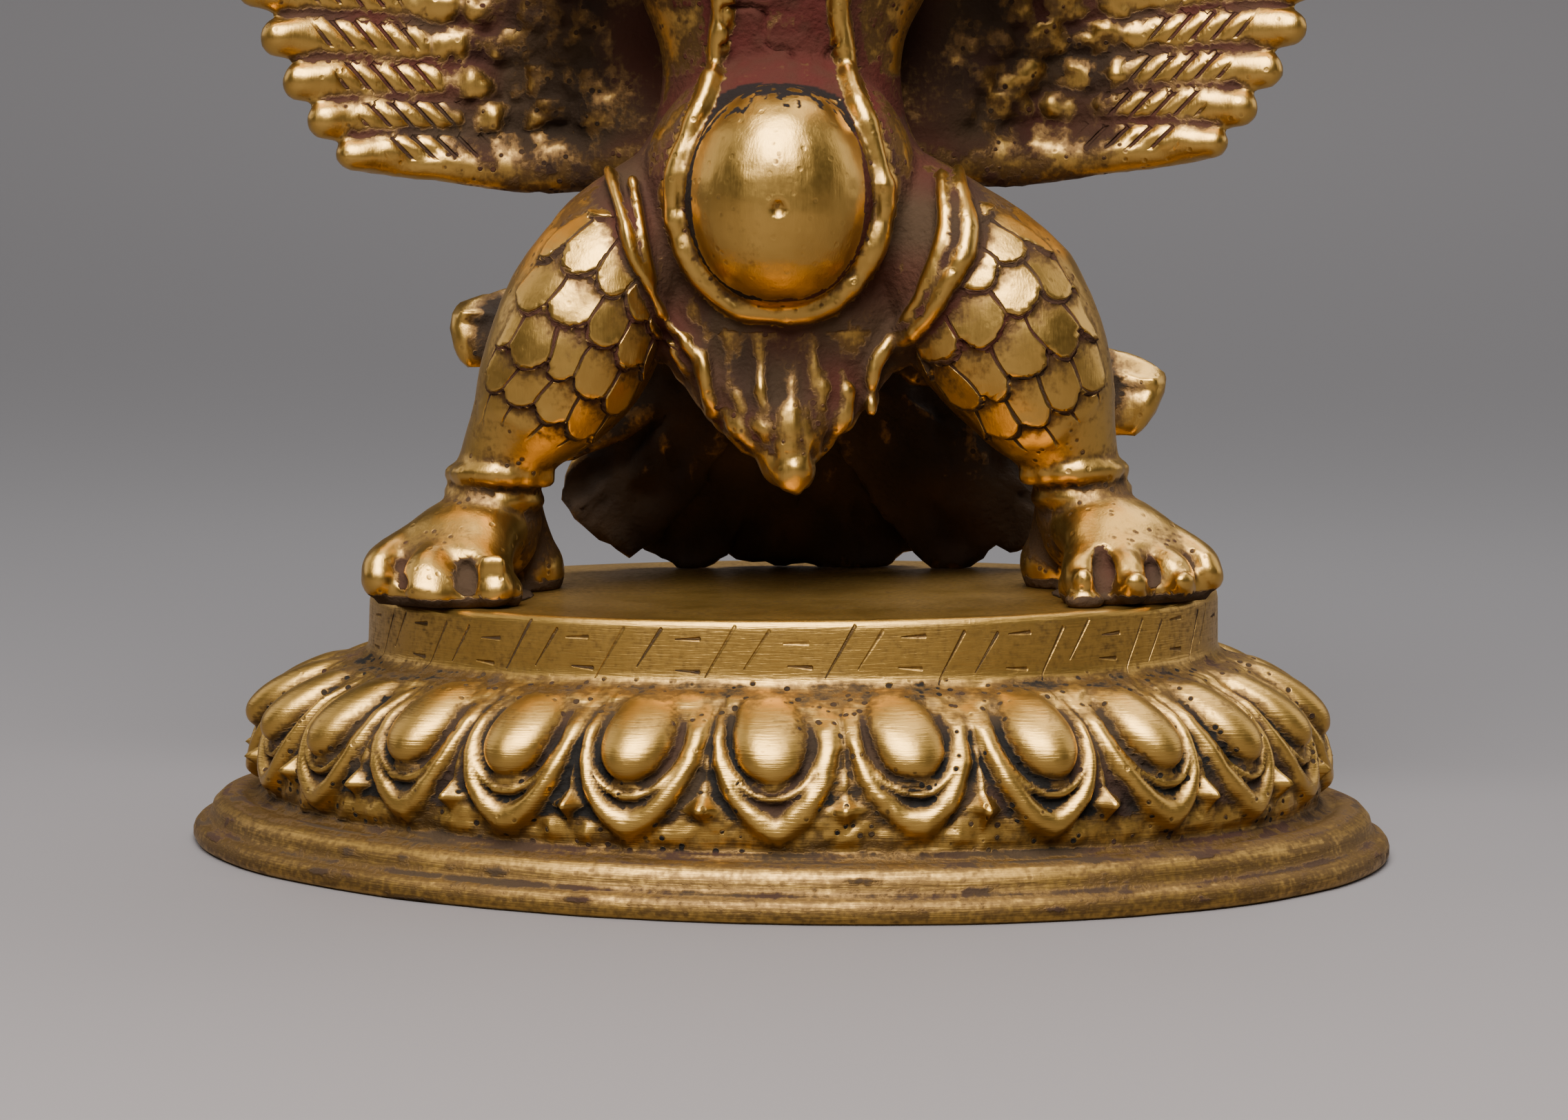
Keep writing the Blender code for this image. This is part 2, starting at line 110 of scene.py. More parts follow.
def petal_tile():
    """One petal's width of the base laid flat: x across, y along the outline, z the height of the relief."""
    outline = profile_points()
    length = np.concatenate([[0], np.cumsum(np.linalg.norm(np.diff(outline, axis=0), axis=1))])
    band_start, band_end = 9.5, length[-1] - 5.4
    spans = ((0, band_start, 25), (band_start, band_end, 52), (band_end, length[-1], 13))
    rows = np.unique(np.concatenate([np.linspace(*span) for span in spans]))
    across = np.linspace(-0.5, 0.5, COLUMNS + 1)
    x, y = [a.ravel() for a in np.meshgrid(across, rows)]
    height = np.interp(y, length, outline[:, 0]) - PLINTH_TOP
    wide = np.abs(x) * PETAL_WIDTH
    egg = np.hypot(wide / (2.85 + 0.08 * (height + BOSS_DOWN)), (height + BOSS_DOWN) / 3.0)
    lip = np.hypot(wide / 1.5, (height + LIP_DOWN) / 0.8)
    boss = 2.45 * np.sqrt(np.clip(1 - egg**2, 0, 1))
    collar = 0.95 * ridge(egg - 1.27, 0.13) * np.clip((-5.4 - height) / 1.8, 0, 1)
    drop = np.clip(-7.2 - height, 0, None)
    cup = ((wide / 4.1) ** 1.65 + (drop / 6.3) ** 1.65) ** (1 / 1.65)
    border = 1.3 * np.exp(-np.abs((cup - 1) / 0.19) ** 3) * np.clip((-5.2 - height) / 1.8, 0.25, 1)
    bed = 0.5 * np.clip((1.02 - cup) / 0.12, 0, 1)
    tip = 1.0 * ridge(np.hypot(wide, (height + TIP_DOWN) * 0.9), 1.15)
    beside = PETAL_WIDTH / 2 - wide
    star = (beside / 2.1) ** 0.75 + (np.abs(height + STUD_DOWN) / 1.9) ** 0.75
    stud = 1.3 * np.clip(1 - star, 0, 1) ** 0.8 + 0.55 * ridge(np.hypot(beside, height + STUD_DOWN), 0.7)
    blade = 0.6 * ridge(beside, 0.35) * np.clip((-5.6 - height) / 1.5, 0, 1)
    blade *= np.clip((height + 12.5) / 1.5, 0, 1)
    parts = [boss + 0.3, collar + 0.25, border, bed, tip, stud, blade, 0.7 + 0.5 * np.clip(1 - lip**2, -2, 1)]
    relief = np.maximum.reduce(parts)
    shown = np.clip((height + 15.4) / 0.8, 0, 1) * np.clip((-4.75 - height) / 0.5, 0, 1)
    points = np.column_stack([x, y, relief * shown])
    wide_count = COLUMNS + 1
    corner = [r * wide_count + c for r in range(len(rows) - 1) for c in range(COLUMNS)]
    faces = [(k, k + 1, k + 1 + wide_count, k + wide_count) for k in corner]
    tile = bpy.data.meshes.new("petal_tile")
    tile.from_pydata(points.tolist(), [], faces)
    return tile, outline, length


def socket_tree(name, **inputs):
    """An empty node tree for a Geometry Nodes modifier, with its named inputs, and the inputs' identifiers."""
    tree = bpy.data.node_groups.new(name, "GeometryNodeTree")
    tree.interface.new_socket("Geometry", in_out="INPUT", socket_type="NodeSocketGeometry")
    tree.interface.new_socket("Geometry", in_out="OUTPUT", socket_type="NodeSocketGeometry")
    keys = {}
    for label, kind in inputs.items():
        keys[label] = tree.interface.new_socket(label, in_out="INPUT", socket_type=kind).identifier
    return tree, keys


def add(tree, kind, sockets=(), **settings):
    """Adds a node with its settings. A socket takes a plain value, or the node or the output that feeds it."""
    node = tree.nodes.new(kind)
    for name, value in settings.items():
        setattr(node, name, value)
    for key, value in dict(sockets).items():
        feed = value.outputs[0] if isinstance(value, bpy.types.Node) else value
        if isinstance(feed, bpy.types.NodeSocket):
            tree.links.new(feed, node.inputs[key])
        else:
            node.inputs[key].default_value = feed
    return node


def petal_strip(tile, material):
    """Repeats the tile in a straight strip, as many times as there are petals."""
    tree, keys = socket_tree("petal strip", Petals="NodeSocketInt", Brass="NodeSocketMaterial")
    given = add(tree, "NodeGroupInput").outputs
    line = add(tree, "GeometryNodeMeshLine", {"Count": given["Petals"], "Offset": (1, 0, 0)})
    laid = add(tree, "GeometryNodeInstanceOnPoints", {"Points": line, "Instance": given["Geometry"]})
    real = add(tree, "GeometryNodeRealizeInstances", {"Geometry": laid})
    welded = add(tree, "GeometryNodeMergeByDistance", {"Geometry": real, "Distance": 0.001})
    made = add(tree, "GeometryNodeSetMaterial", {"Geometry": welded, "Material": given["Brass"]})
    add(tree, "NodeGroupOutput", {"Geometry": made})
    holder = bpy.data.objects.new("petal_strip", tile)
    bpy.context.scene.collection.objects.link(holder)
    repeat = holder.modifiers.new("petals", "NODES")
    repeat.node_group = tree
    repeat[keys["Petals"]] = PETALS
    repeat[keys["Brass"]] = material
    strip = bpy.data.meshes.new_from_object(holder.evaluated_get(bpy.context.evaluated_depsgraph_get()))
    bpy.data.objects.remove(holder)
    return strip


def settled(points):
    """Points in mm as metres, with the plinth and all above it raised to one side as in the casting."""
    points = points.copy()
    points[:, 2] += PLINTH_SLOPE * points[:, 0] * np.clip(points[:, 2] / PLINTH_TOP, 0, 1)
    return points * MM


def averaged(values, edges, rounds):
    """Each vertex's values, evened out with its neighbours' for some rounds."""
    near = np.bincount(edges.ravel(), minlength=len(values))[:, None]
    for _ in range(rounds):
        total = [
            np.bincount(edges[:, 0], column[edges[:, 1]], len(values))
            + np.bincount(edges[:, 1], column[edges[:, 0]], len(values))
            for column in values.T
        ]
        values = np.column_stack(total) / near
    return values


def array_of(collection, name, width, kind=np.float64):
    """One value, or one row of width values, for each item of a mesh's collection."""
    found = np.empty(len(collection) * width, kind)
    collection.foreach_get(name, found)
    return found.reshape(-1, width) if width > 1 else found


def standing(mesh, rounds):
    """How far each vertex stands out of the surface round it, in mm. It is below 0 in a recess."""
    points = array_of(mesh.vertices, "co", 3) / MM
    normals = array_of(mesh.vertex_normals, "vector", 3)
    edges = array_of(mesh.edges, "vertices", 2, np.int32)
    return ((points - averaged(points, edges, rounds)) * normals).sum(axis=1)


def store(mesh, name, values):
    """Keeps a value for each vertex, for the material to read."""
    layer = mesh.attributes.new(name, "FLOAT", "POINT")
    layer.data.foreach_set("value", np.asarray(values, np.float32))


def linear(hex_colour):
    """An sRGB hex colour as the linear RGBA a shader takes."""
    parts = [int(hex_colour[k : k + 2], 16) / 255 for k in (1, 3, 5)]
    return (*(c / 12.92 if c <= 0.04045 else ((c + 0.055) / 1.055) ** 2.4 for c in parts), 1)


# The skin's patterns in mm: its cast grain, its blotches, the space between pits, and what one step of bump stands
# for. The real grain is about half as coarse, which wouldn't show.
SKIN_GRAIN, BLOTCHES, PIT_SPACING, SKIN_DEPTH = 0.45, 3.5, 0.95, 0.13


def aged_brass(name, bright, rubbed, dull, tarnish_and_shade_colour, pigment, soot_and_shade_colour, roughness, marks):
    """Cast brass, bright where it is handled or filed, dull beyond that, and dirty in its recesses.

    It reads four of the mesh's values, from 0 to 1: its wear, which is also set low for painted shade and high for
    painted light; its red pigment; its soot, which is also raised for painted shade; and its pits. marks gives the
    cuts that a tool left in it and the fine lines of the file or brush, from 0 to 1.
    """
    material = bpy.data.materials.new(name)
    material.use_nodes = True
    tree = material.node_tree
    shader = tree.nodes["Principled BSDF"]
    place = add(tree, "ShaderNodeTexCoord").outputs["Object"]
    wear_and_painted_light, red, soot_and_painted_shade, pitted = (
        add(tree, "ShaderNodeAttribute", attribute_name=key).outputs["Fac"]
        for key in ("wear_and_painted_light", "red", "soot_and_painted_shade", "pitted")
    )
    cut, lines = marks(tree, place)
    fine = add(tree, "ShaderNodeTexNoise", {"Vector": place, "Scale": 1 / (SKIN_GRAIN * MM), "Detail": 5.0})
    blotch = add(tree, "ShaderNodeTexNoise", {"Vector": place, "Scale": 1 / (BLOTCHES * MM), "Detail": 3.0})
    cells = add(tree, "ShaderNodeTexVoronoi", {"Vector": place, "Scale": 1 / (PIT_SPACING * MM)})
    here = add(tree, "ShaderNodeMapRange", {0: blotch, 1: 0.36, 2: 0.52})
    hole = add(tree, "ShaderNodeMapRange", {0: cells, 1: 0.13, 2: 0.26, 3: pitted, 4: 0.0})
    pit = add(tree, "ShaderNodeMath", {0: hole, 1: here}, operation="MULTIPLY")
    patchy = add(tree, "ShaderNodeMath", {0: blotch, 1: 0.45, 2: -0.65}, operation="MULTIPLY_ADD")
    loose = add(tree, "ShaderNodeMath", {0: fine, 1: 0.55, 2: patchy}, operation="MULTIPLY_ADD")
    lined = add(tree, "ShaderNodeMath", {0: lines, 1: 0.3, 2: loose}, operation="MULTIPLY_ADD")
    deep = add(tree, "ShaderNodeMath", {0: cut, 1: pit}, operation="MAXIMUM")
    left = add(tree, "ShaderNodeMath", {0: deep, 1: -0.75, 2: wear_and_painted_light}, operation="MULTIPLY_ADD")
    shown = add(tree, "ShaderNodeMath", {0: left, 1: lined}, operation="ADD")
    metal = add(tree, "ShaderNodeMapRange", {0: shown, 1: 0.2, 2: 0.44}, interpolation_type="SMOOTHSTEP")
    clean = add(tree, "ShaderNodeMapRange", {0: shown, 1: 0.42, 2: 0.8}, interpolation_type="SMOOTHSTEP")
    gold = add(tree, "ShaderNodeMix", {0: blotch, 6: linear(bright), 7: linear(rubbed)}, data_type="RGBA")
    faded = add(tree, "ShaderNodeMix", {0: clean, 6: linear(dull), 7: gold.outputs[2]}, data_type="RGBA")
    # The tarnish and soot colours are also the colours of painted shade, wherever the mesh's values ask for it.
    stain_and_painted_shade = add(tree, "ShaderNodeMix", {0: red, 6: linear(tarnish_and_shade_colour), 7: linear(pigment)}, data_type="RGBA")
    dirt_and_painted_shade = add(tree, "ShaderNodeMix", {0: soot_and_painted_shade, 6: stain_and_painted_shade.outputs[2], 7: linear(soot_and_shade_colour)}, data_type="RGBA")
    colour = add(tree, "ShaderNodeMix", {0: metal, 6: dirt_and_painted_shade.outputs[2], 7: faded.outputs[2]}, data_type="RGBA")
    matt = add(tree, "ShaderNodeMapRange", {0: metal, 3: 0.8, 4: 0.5})
    smooth = add(tree, "ShaderNodeMath", {0: clean, 1: roughness - 0.5, 2: matt}, operation="MULTIPLY_ADD")
    rough = add(tree, "ShaderNodeMath", {0: fine, 1: 0.12, 2: smooth}, operation="MULTIPLY_ADD")
    grit = add(tree, "ShaderNodeMapRange", {0: metal, 3: 1.2, 4: 0.1})
    skin = add(tree, "ShaderNodeMath", {0: fine, 1: grit}, operation="MULTIPLY")
    holed = add(tree, "ShaderNodeMath", {0: pit, 1: -0.4, 2: skin}, operation="MULTIPLY_ADD")
    scored = add(tree, "ShaderNodeMath", {0: lines, 1: 0.26, 2: holed}, operation="MULTIPLY_ADD")
    sunk = add(tree, "ShaderNodeMath", {0: cut, 1: -1.7, 2: scored}, operation="MULTIPLY_ADD")
    bump = add(tree, "ShaderNodeBump", {"Height": sunk, "Distance": SKIN_DEPTH * MM, "Strength": 1.0})
    metallic = add(tree, "ShaderNodeMapRange", {0: metal, 3: 0.1, 4: 1.0})
    shader.inputs["Specular IOR Level"].default_value = 0.12
    tree.links.new(colour.outputs[2], shader.inputs["Base Color"])
    for key, node in (("Metallic", metallic), ("Roughness", rough), ("Normal", bump)):
        tree.links.new(node.outputs[0], shader.inputs[key])
    return material


STROKE_SPACING = 10.4
FILE_MARK_LENGTH, FILE_MARK_SPACING = 2.6, 0.13
STROKES = (((0.6, 1.3), (2.7, 1.2)), ((0.7, 3.3), (2.9, 3.35)), ((3.9, 0.5), (6.5, 4.1)), ((7.4, 1.2), (9.6, 3.9)))


def base_marks(tree, place):
    """Chased strokes round the plinth's wall, none quite like the next, and file marks that run round the base."""
    around = add(tree, "ShaderNodeAttribute", attribute_name="around").outputs["Fac"]
    up = add(tree, "ShaderNodeAttribute", attribute_name="up").outputs["Fac"]
    cell = add(tree, "ShaderNodeMath", {0: around, 1: STROKE_SPACING}, operation="DIVIDE")
    whole = add(tree, "ShaderNodeMath", {0: cell}, operation="FLOOR")
    part = add(tree, "ShaderNodeMath", {0: cell}, operation="FRACT")
    across = add(tree, "ShaderNodeMath", {0: part, 1: STROKE_SPACING}, operation="MULTIPLY")
    here = add(tree, "ShaderNodeCombineXYZ", {0: across, 1: up})
    deepest = 0.0
    for k, (start, end) in enumerate(STROKES):
        reach = Vector((*end, 0)) - Vector((*start, 0))
        seed = add(tree, "ShaderNodeMath", {0: whole, 1: 31.7 * (k + 1)}, operation="ADD")
        chance = add(tree, "ShaderNodeTexWhiteNoise", {"W": seed}, noise_dimensions="1D")
        centred = {0: chance.outputs["Color"], 1: (0.5, 0.5, 0.5)}
        strayed = {0: add(tree, "ShaderNodeVectorMath", centred, operation="SUBTRACT"), 1: (1.1, 0.7, 0)}
        stray = add(tree, "ShaderNodeVectorMath", strayed, operation="MULTIPLY")
        begun = add(tree, "ShaderNodeVectorMath", {0: here, 1: (*start, 0)}, operation="SUBTRACT")
        off = add(tree, "ShaderNodeVectorMath", {0: begun, 1: stray}, operation="SUBTRACT")
        run = {0: off, 1: reach / reach.length_squared}
        along = add(tree, "ShaderNodeVectorMath", run, operation="DOT_PRODUCT").outputs["Value"]
        share = add(tree, "ShaderNodeClamp", {0: along})
        nearest = add(tree, "ShaderNodeVectorMath", {0: reach, "Scale": share}, operation="SCALE")
        gap = add(tree, "ShaderNodeVectorMath", {0: off, 1: nearest}, operation="DISTANCE").outputs["Value"]
        width = add(tree, "ShaderNodeMath", {0: share, 1: 0.09, 2: 0.06}, operation="MULTIPLY_ADD")
        ratio = add(tree, "ShaderNodeMath", {0: gap, 1: width}, operation="DIVIDE")
        inner = add(tree, "ShaderNodeMath", {0: 1.3, 1: ratio}, operation="SUBTRACT")
        soft = add(tree, "ShaderNodeClamp", {0: inner})
        depth = add(tree, "ShaderNodeMath", {0: chance, 1: 0.65, 2: 0.1}, operation="MULTIPLY_ADD")
        stroke = add(tree, "ShaderNodeMath", {0: soft, 1: depth}, operation="MULTIPLY")
        deepest = add(tree, "ShaderNodeMath", {0: stroke, 1: deepest}, operation="MAXIMUM")
    lengthways = add(tree, "ShaderNodeMath", {0: around, 1: FILE_MARK_LENGTH}, operation="DIVIDE")
    crossways = add(tree, "ShaderNodeMath", {0: up, 1: FILE_MARK_SPACING}, operation="DIVIDE")
    stretched = add(tree, "ShaderNodeCombineXYZ", {0: lengthways, 1: crossways})
    filed = add(tree, "ShaderNodeTexNoise", {"Vector": stretched, "Scale": 1.0, "Detail": 3.0})
    return deepest, filed


# Filed and chased cast brass: a yellow metal, satin where the file has been, with brown-black dirt in its pits.
filed_brass = aged_brass(
    "filed cast brass", "#bf974e", "#9a7639", "#614929", "#35281a", "#332018", "#171411", 0.3, marks=base_marks
)

tile, outline, outline_length = petal_tile()
base_mesh = petal_strip(tile, filed_brass)
flat = array_of(base_mesh.vertices, "co", 3)
in_relief = flat[:, 2] > 0.01
petal = np.floor(flat[:, 0] + 0.5).astype(int) % PETALS
across = (flat[:, 0] + 0.5) % 1 * 2 - 1
hand = np.random.default_rng(8).normal(0, 1, (PETALS, 4))
lifted = flat[:, 2] * (1 + 0.1 * hand[petal, 0])
sideways = (0.036 * hand[petal, 1] + 0.009 * hand[petal, 2] * (flat[:, 1] - 15)) * (1 - across**2)
slid = flat[:, 1] + 0.26 * hand[petal, 3] * (1 - across**2) * in_relief
turn = 2 * math.pi * (flat[:, 0] + sideways) / PETALS
height = np.interp(slid, outline_length, outline[:, 0])
half = np.interp(slid, outline_length, outline[:, 1])
share = (half - PLINTH[0]) / (RIM[0] - PLINTH[0])
deep = PLINTH[1] + (RIM[1] - PLINTH[1]) * share
ring = np.column_stack([half * np.sin(turn), -deep * np.cos(turn), height])
rough_cast = in_relief * (0.55 * (grain(ring, 1.3, 1) - 0.5) + 0.24 * (grain(ring, 0.45, 2) - 0.5))
filed_flat = 0.1 * (grain(ring * (1, 1, 0.4), 2.5, 3) - 0.5) + 0.3 * (grain(ring, 9, 4) - 0.5)
out = lifted + rough_cast * np.clip(1.6 - lifted, 0.1, 1) + filed_flat * (~in_relief & (ring[:, 2] < LEDGE_TOP))
ring[:, 0] += out * np.sin(turn)
ring[:, 1] -= out * np.cos(turn)
base_mesh.vertices.foreach_set("co", ring.ravel())


def close_base(mesh):
    """Welds the strip's ends, and fills its underside and the plinth's top with rings and a middle."""
    bm = bmesh.new()
    bm.from_mesh(mesh)
    bmesh.ops.remove_doubles(bm, verts=bm.verts, dist=0.01)
    rims = [e for e in bm.edges if e.is_boundary]
    top = [e for e in rims if e.verts[0].co.z > PLINTH_TOP / 2]
    sizes = (0.985, 0.94, 0.8, 0.5)
    for size, before in zip(sizes, (1, *sizes)):
        grown = bmesh.ops.extrude_edge_only(bm, edges=top)["geom"]
        top = [g for g in grown if isinstance(g, bmesh.types.BMEdge)]
        for vert in {v for e in top for v in e.verts}:
            vert.co.xy *= size / before
            vert.co.z = PLINTH_TOP
    bmesh.ops.holes_fill(bm, edges=[e for e in bm.edges if e.is_boundary])
    bmesh.ops.triangulate(bm, faces=[f for f in bm.faces if len(f.verts) > 4])
    bmesh.ops.recalc_face_normals(bm, faces=bm.faces)
    bm.to_mesh(mesh)
    bm.free()


close_base(base_mesh)
base_points = array_of(base_mesh.vertices, "co", 3)
base_mesh.vertices.foreach_set("co", settled(base_points).ravel())
base_mesh.update()
base_mesh.shade_smooth()
x, y, z = base_points.T
out_share = (np.hypot(x / PLINTH[0], y / PLINTH[1]) - 1) * PLINTH[0]
around = np.arctan2(x / RIM[0], -y / RIM[1]) * (RIM[0] + RIM[1]) / 2
up = np.where(z > PLINTH_TOP - 0.05, z - PLINTH_FOOT - out_share, z - PLINTH_FOOT)
low = z < BAND_FOOT
raised = standing(base_mesh, 40) + 0.6 * standing(base_mesh, 6)
smooth_half = np.interp(z, outline[:, 0], outline[:, 1])
smooth_deep = PLINTH[1] + (RIM[1] - PLINTH[1]) * (smooth_half - PLINTH[0]) / (RIM[0] - PLINTH[0])
relief = (np.hypot(x / smooth_half, y / smooth_deep) - 1) * smooth_half
in_band = (z > BAND_FOOT) & (z < PLINTH_FOOT + 0.3)
run = np.column_stack([around, up, out_share])
streaks = grain(run / (12, 1, 1), 0.5, 31) + 0.5 * grain(run / (5, 1, 1), 0.25, 32)
raised = np.maximum(raised, -0.8 + 0.7 * np.clip((z - PLINTH_FOOT + 2.2) / 0.8, 0, 1))
raised = np.maximum(raised, -0.8 + 0.6 * np.clip((PLAIN_BAND_TOP - z) / 0.6, 0, 1))
wear_and_painted_light = np.where(in_band, 0.53 + 1.1 * raised + 0.35 * (grain(base_points, 1.6, 33) - 0.5), 0.7)
wear_and_painted_light += 0.26 * in_band * np.clip((PLAIN_BAND_TOP - z) / 0.8, 0, 1) - 0.21 * low
wear_and_painted_light += 0.3 * in_band * np.clip((z - PLINTH_FOOT + 1.7) / 0.5, 0, 1) * (grain(base_points, 0.9, 37) - 0.3)
wear_and_painted_light -= 0.6 * low * np.clip((streaks - 1.02) * 4, 0, 1)
wear_and_painted_light -= 0.4 * (ridge(z - 1.9, 0.16) + 0.7 * ridge(z - 3.62, 0.1)) * low * grain(run / (4, 1, 1), 1, 36)
wear_and_painted_light -= 0.04 * (z > PLINTH_TOP - 0.06) * (out_share < -1) + 0.5 * ridge(z - 4.05, 0.28) * grain(base_points, 3, 34)
wear_and_painted_light -= 0.16 * ridge(z - PLINTH_FOOT + 0.1, 0.4) * grain(base_points, 2, 35)
wear_and_painted_light += 0.22 * ridge(z - PLINTH_TOP, 0.25) * (out_share > -1.2)
wear_and_painted_light += 0.2 * ridge(z - 0.2, 0.3) + 0.15 * ridge(z - 3.3, 0.25)
store(base_mesh, "wear_and_painted_light", np.clip(wear_and_painted_light, 0, 1))
store(base_mesh, "around", around)
store(base_mesh, "up", up)
store(base_mesh, "pitted", np.where(in_band, np.clip(1.9 - 0.72 * relief, 0.1, 1), 0.12))
store(base_mesh, "red", np.clip(1.5 * grain(base_points, 4, 38) - 0.5, 0, 1))
store(base_mesh, "soot_and_painted_shade", np.clip(1.4 - 3.2 * np.abs(grain(base_points, 3.5, 5) - 0.2), 0, 1) * in_band)
base = bpy.data.objects.new("lotus_base_cast", base_mesh)
bpy.context.scene.collection.objects.link(base)
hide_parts("lotus_base")
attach(base, "root")

# Garuda. One brass casting, wings and tail included, cast from a hand-modelled wax and brazed to the plinth.
# Its high spots are rubbed bright; dark red pigment and soot lie in the recesses, the wings and the tail.
# Painted shade darkens the tail's front, the wings' inner parts, the space behind the trunk and the soles, and
# painted light brightens the scales' lower edges and the tail's back and curls.

FRONT = (0, -1, 0)
FIGURE_HEIGHT = 103.4
FIGURE_SCALE = (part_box("garuda_figure")[1].z / MM - PLINTH_TOP) / FIGURE_HEIGHT
FIGURE_TURN = math.radians(1.7)
# The trunk leans over to the left by this much, and does so up to this height.
LEAN, LEAN_HEIGHT = 1.4, 34
NAVEL = (0.05, 29.0)
VOXEL = 0.26
FIGURE_FACES = 194000


def smooth_rows(rows, count):
    """Rows read from a Catmull-Rom curve through the given rows. Widths in a row go along with its place."""
    rows = np.array(rows, float)
    ends = np.vstack([2 * rows[0] - rows[1], rows, 2 * rows[-1] - rows[-2]])
    found = []
    for t in np.linspace(0, len(rows) - 1, count):
        i = min(int(t), len(rows) - 2)
        f = t - i
        a, b, c, d = ends[i : i + 4]
        found.append(
            b + 0.5 * ((c - a) * f + (2 * a - 5 * b + 4 * c - d) * f**2 + (3 * b - a - 3 * c + d) * f**3)
        )
    return np.array(found)


def axes_along(rows, face):
    """Unit vectors at each row: along the strand, to its wide side, and to its face."""
    along = np.gradient(rows[:, :3], axis=0)
    along /= np.linalg.norm(along, axis=1)[:, None]
    face = np.array(face, float)
    thick = face - (along @ face)[:, None] * along
    thick /= np.linalg.norm(thick, axis=1)[:, None]
    return along, np.cross(along, thick), thick


def strand(rows, face=FRONT, sides=14, rings=16, notches=0.0, seed=0):
    """A closed limb along rows of x, y, z, half width, half thickness. Its thickness lies towards face."""
    rows = smooth_rows(rows, rings)
    if notches:
        rows[:, 3:5] *= 1 + notches * np.random.default_rng(seed).uniform(-1, 1, rings)[:, None]
    along, wide, thick = axes_along(rows, face)
    turns = np.linspace(0, 2 * math.pi, sides, endpoint=False)
    tips = [(0, -d) for d in (80, 60, 40, 20)] + [(i, 0) for i in range(rings)]
    tips += [(rings - 1, d) for d in (20, 40, 60, 80)]
    loops = []
    for i, degrees in tips:
        size = math.cos(math.radians(degrees))
        centre = rows[i, :3] + along[i] * math.sin(math.radians(degrees)) * min(rows[i, 3:5])
        loops.append(
            centre
            + np.outer(np.cos(turns), wide[i] * rows[i, 3] * size)
            + np.outer(np.sin(turns), thick[i] * rows[i, 4] * size)
        )
    faces = []
    for ring in range(len(loops) - 1):
        for k in range(sides):
            a, b = ring * sides + k, ring * sides + (k + 1) % sides
            faces.append((a, b, b + sides, a + sides))
    points = np.vstack(loops)
    faces.append(tuple(reversed(range(sides))))
    faces.append(tuple(range(len(points) - sides, len(points))))
    return points, faces


def ball(centre, radii, turn=(0, 0, 0)):
    """A closed ellipsoid, turned by degrees about X, Y and Z."""
    bm = bmesh.new()
    bmesh.ops.create_uvsphere(bm, u_segments=32, v_segments=20, radius=1)
    turned = Euler([math.radians(a) for a in turn]).to_matrix().to_4x4()
    bm.transform(Matrix.Translation(centre) @ turned @ Matrix.Diagonal((*radii, 1)))
    points = np.array([v.co for v in bm.verts])
    faces = [tuple(v.index for v in f.verts) for f in bm.faces]
    bm.free()
    return points, faces


def both_sides(forms):
    """The forms, and their mirror images on the left."""
    return forms + [(points * (-1, 1, 1), [tuple(reversed(f)) for f in faces]) for points, faces in forms]


def other_side(forms):
    """Only the mirror images of the forms."""
    return both_sides(forms)[len(forms) :]


def joined(forms):
    """All the forms' points and faces as one list of each."""
    points, faces, start = [], [], 0
    for form_points, form_faces in forms:
        points.append(form_points)
        faces += [tuple(start + i for i in face) for face in form_faces]
        start += len(form_points)
    return np.vstack(points), faces


# The limb's rows, down from the hip to the heel: x, y, z, half width, half thickness.
LIMB = [
    (7.0, 0, 30, 4.8, 6.2),
    (10.8, -2.5, 26.2, 6.3, 6.6),
    (14.2, -4.3, 22.8, 6.7, 6.8),
    (16.6, -5.3, 18.6, 6.6, 6.2),
    (18.9, -5, 14.8, 5.5, 5.0),
    (20.8, -4.2, 11.5, 3.9, 3.9),
    (22.0, -3.6, 8.5, 3.3, 3.4),
    (22.3, -3.2, 4.5, 3.3, 3.5),
]


def leg_forms():
    """The limb, its cast anklet of two rolls, the foot's arch, the heel, and the braze run round the sole."""
    return [
        strand(LIMB, sides=32, rings=30),
        strand(
            [(25.4, -3.6, 9.2, 0.8, 0.7), (24, -6.6, 9.4, 0.8, 0.7), (21, -7.4, 9.3, 0.8, 0.7)]
            + [(18, -5.6, 9.0, 0.8, 0.7)],
            rings=26,
            notches=0.2,
            seed=3,
        ),
        ball((21.6, -3.5, 9.2), (3.9, 3.8, 0.7), (0, -6, 0)),
        ball((22.2, -3.5, 7.5), (3.9, 4.1, 1.5), (0, -6, 0)),
        strand(
            [(22.0, -2.6, 5.6, 3.4, 3.2), (24.4, -6.6, 4.5, 4.6, 2.9), (25.6, -9.8, 3.0, 5.2, 2.0)],
            face=(0, 0, 1),
            sides=24,
        ),
        strand([(21.8, -0.6, 6.5, 2.9, 3.0), (21.2, 0.6, 3.4, 2.9, 3.2), (20.7, 1.0, 1.6, 3.2, 3.6)], sides=24),
        ball((25.0, -5.4, 0.0), (5.6, 7.2, 0.7)),
        strand([(20.8, -11.6, 1.1, 1.5, 1.2), (25.0, -12.6, 1.2, 1.5, 1.3), (30.0, -9.6, 1.1, 1.5, 1.2)], rings=12),
    ]


def left_toes():
    """Three broad toes that run into each other, with the pits between them left dark."""
    return other_side(
        [
            strand([(22.8, -8.4, 3.0, 2.1, 2.0), (22.0, -11.8, 2.2, 1.8, 1.8), (21.6, -13.2, 1.3, 1.6, 1.3)]),
            strand([(25.4, -8.4, 3.2, 2.2, 2.1), (26.2, -12.0, 2.3, 2.2, 1.7), (26.5, -13.6, 1.3, 2.0, 1.2)]),
            strand([(28.0, -6.8, 3.8, 1.9, 1.9), (30.1, -9.4, 2.9, 1.5, 1.8), (30.4, -10.6, 1.9, 1.4, 1.6)]),
            strand([(21.0, -13.6, 3.0, 1.0, 0.4), (22.4, -13.5, 3.1, 1.0, 0.4)], rings=6),
        ]
    )


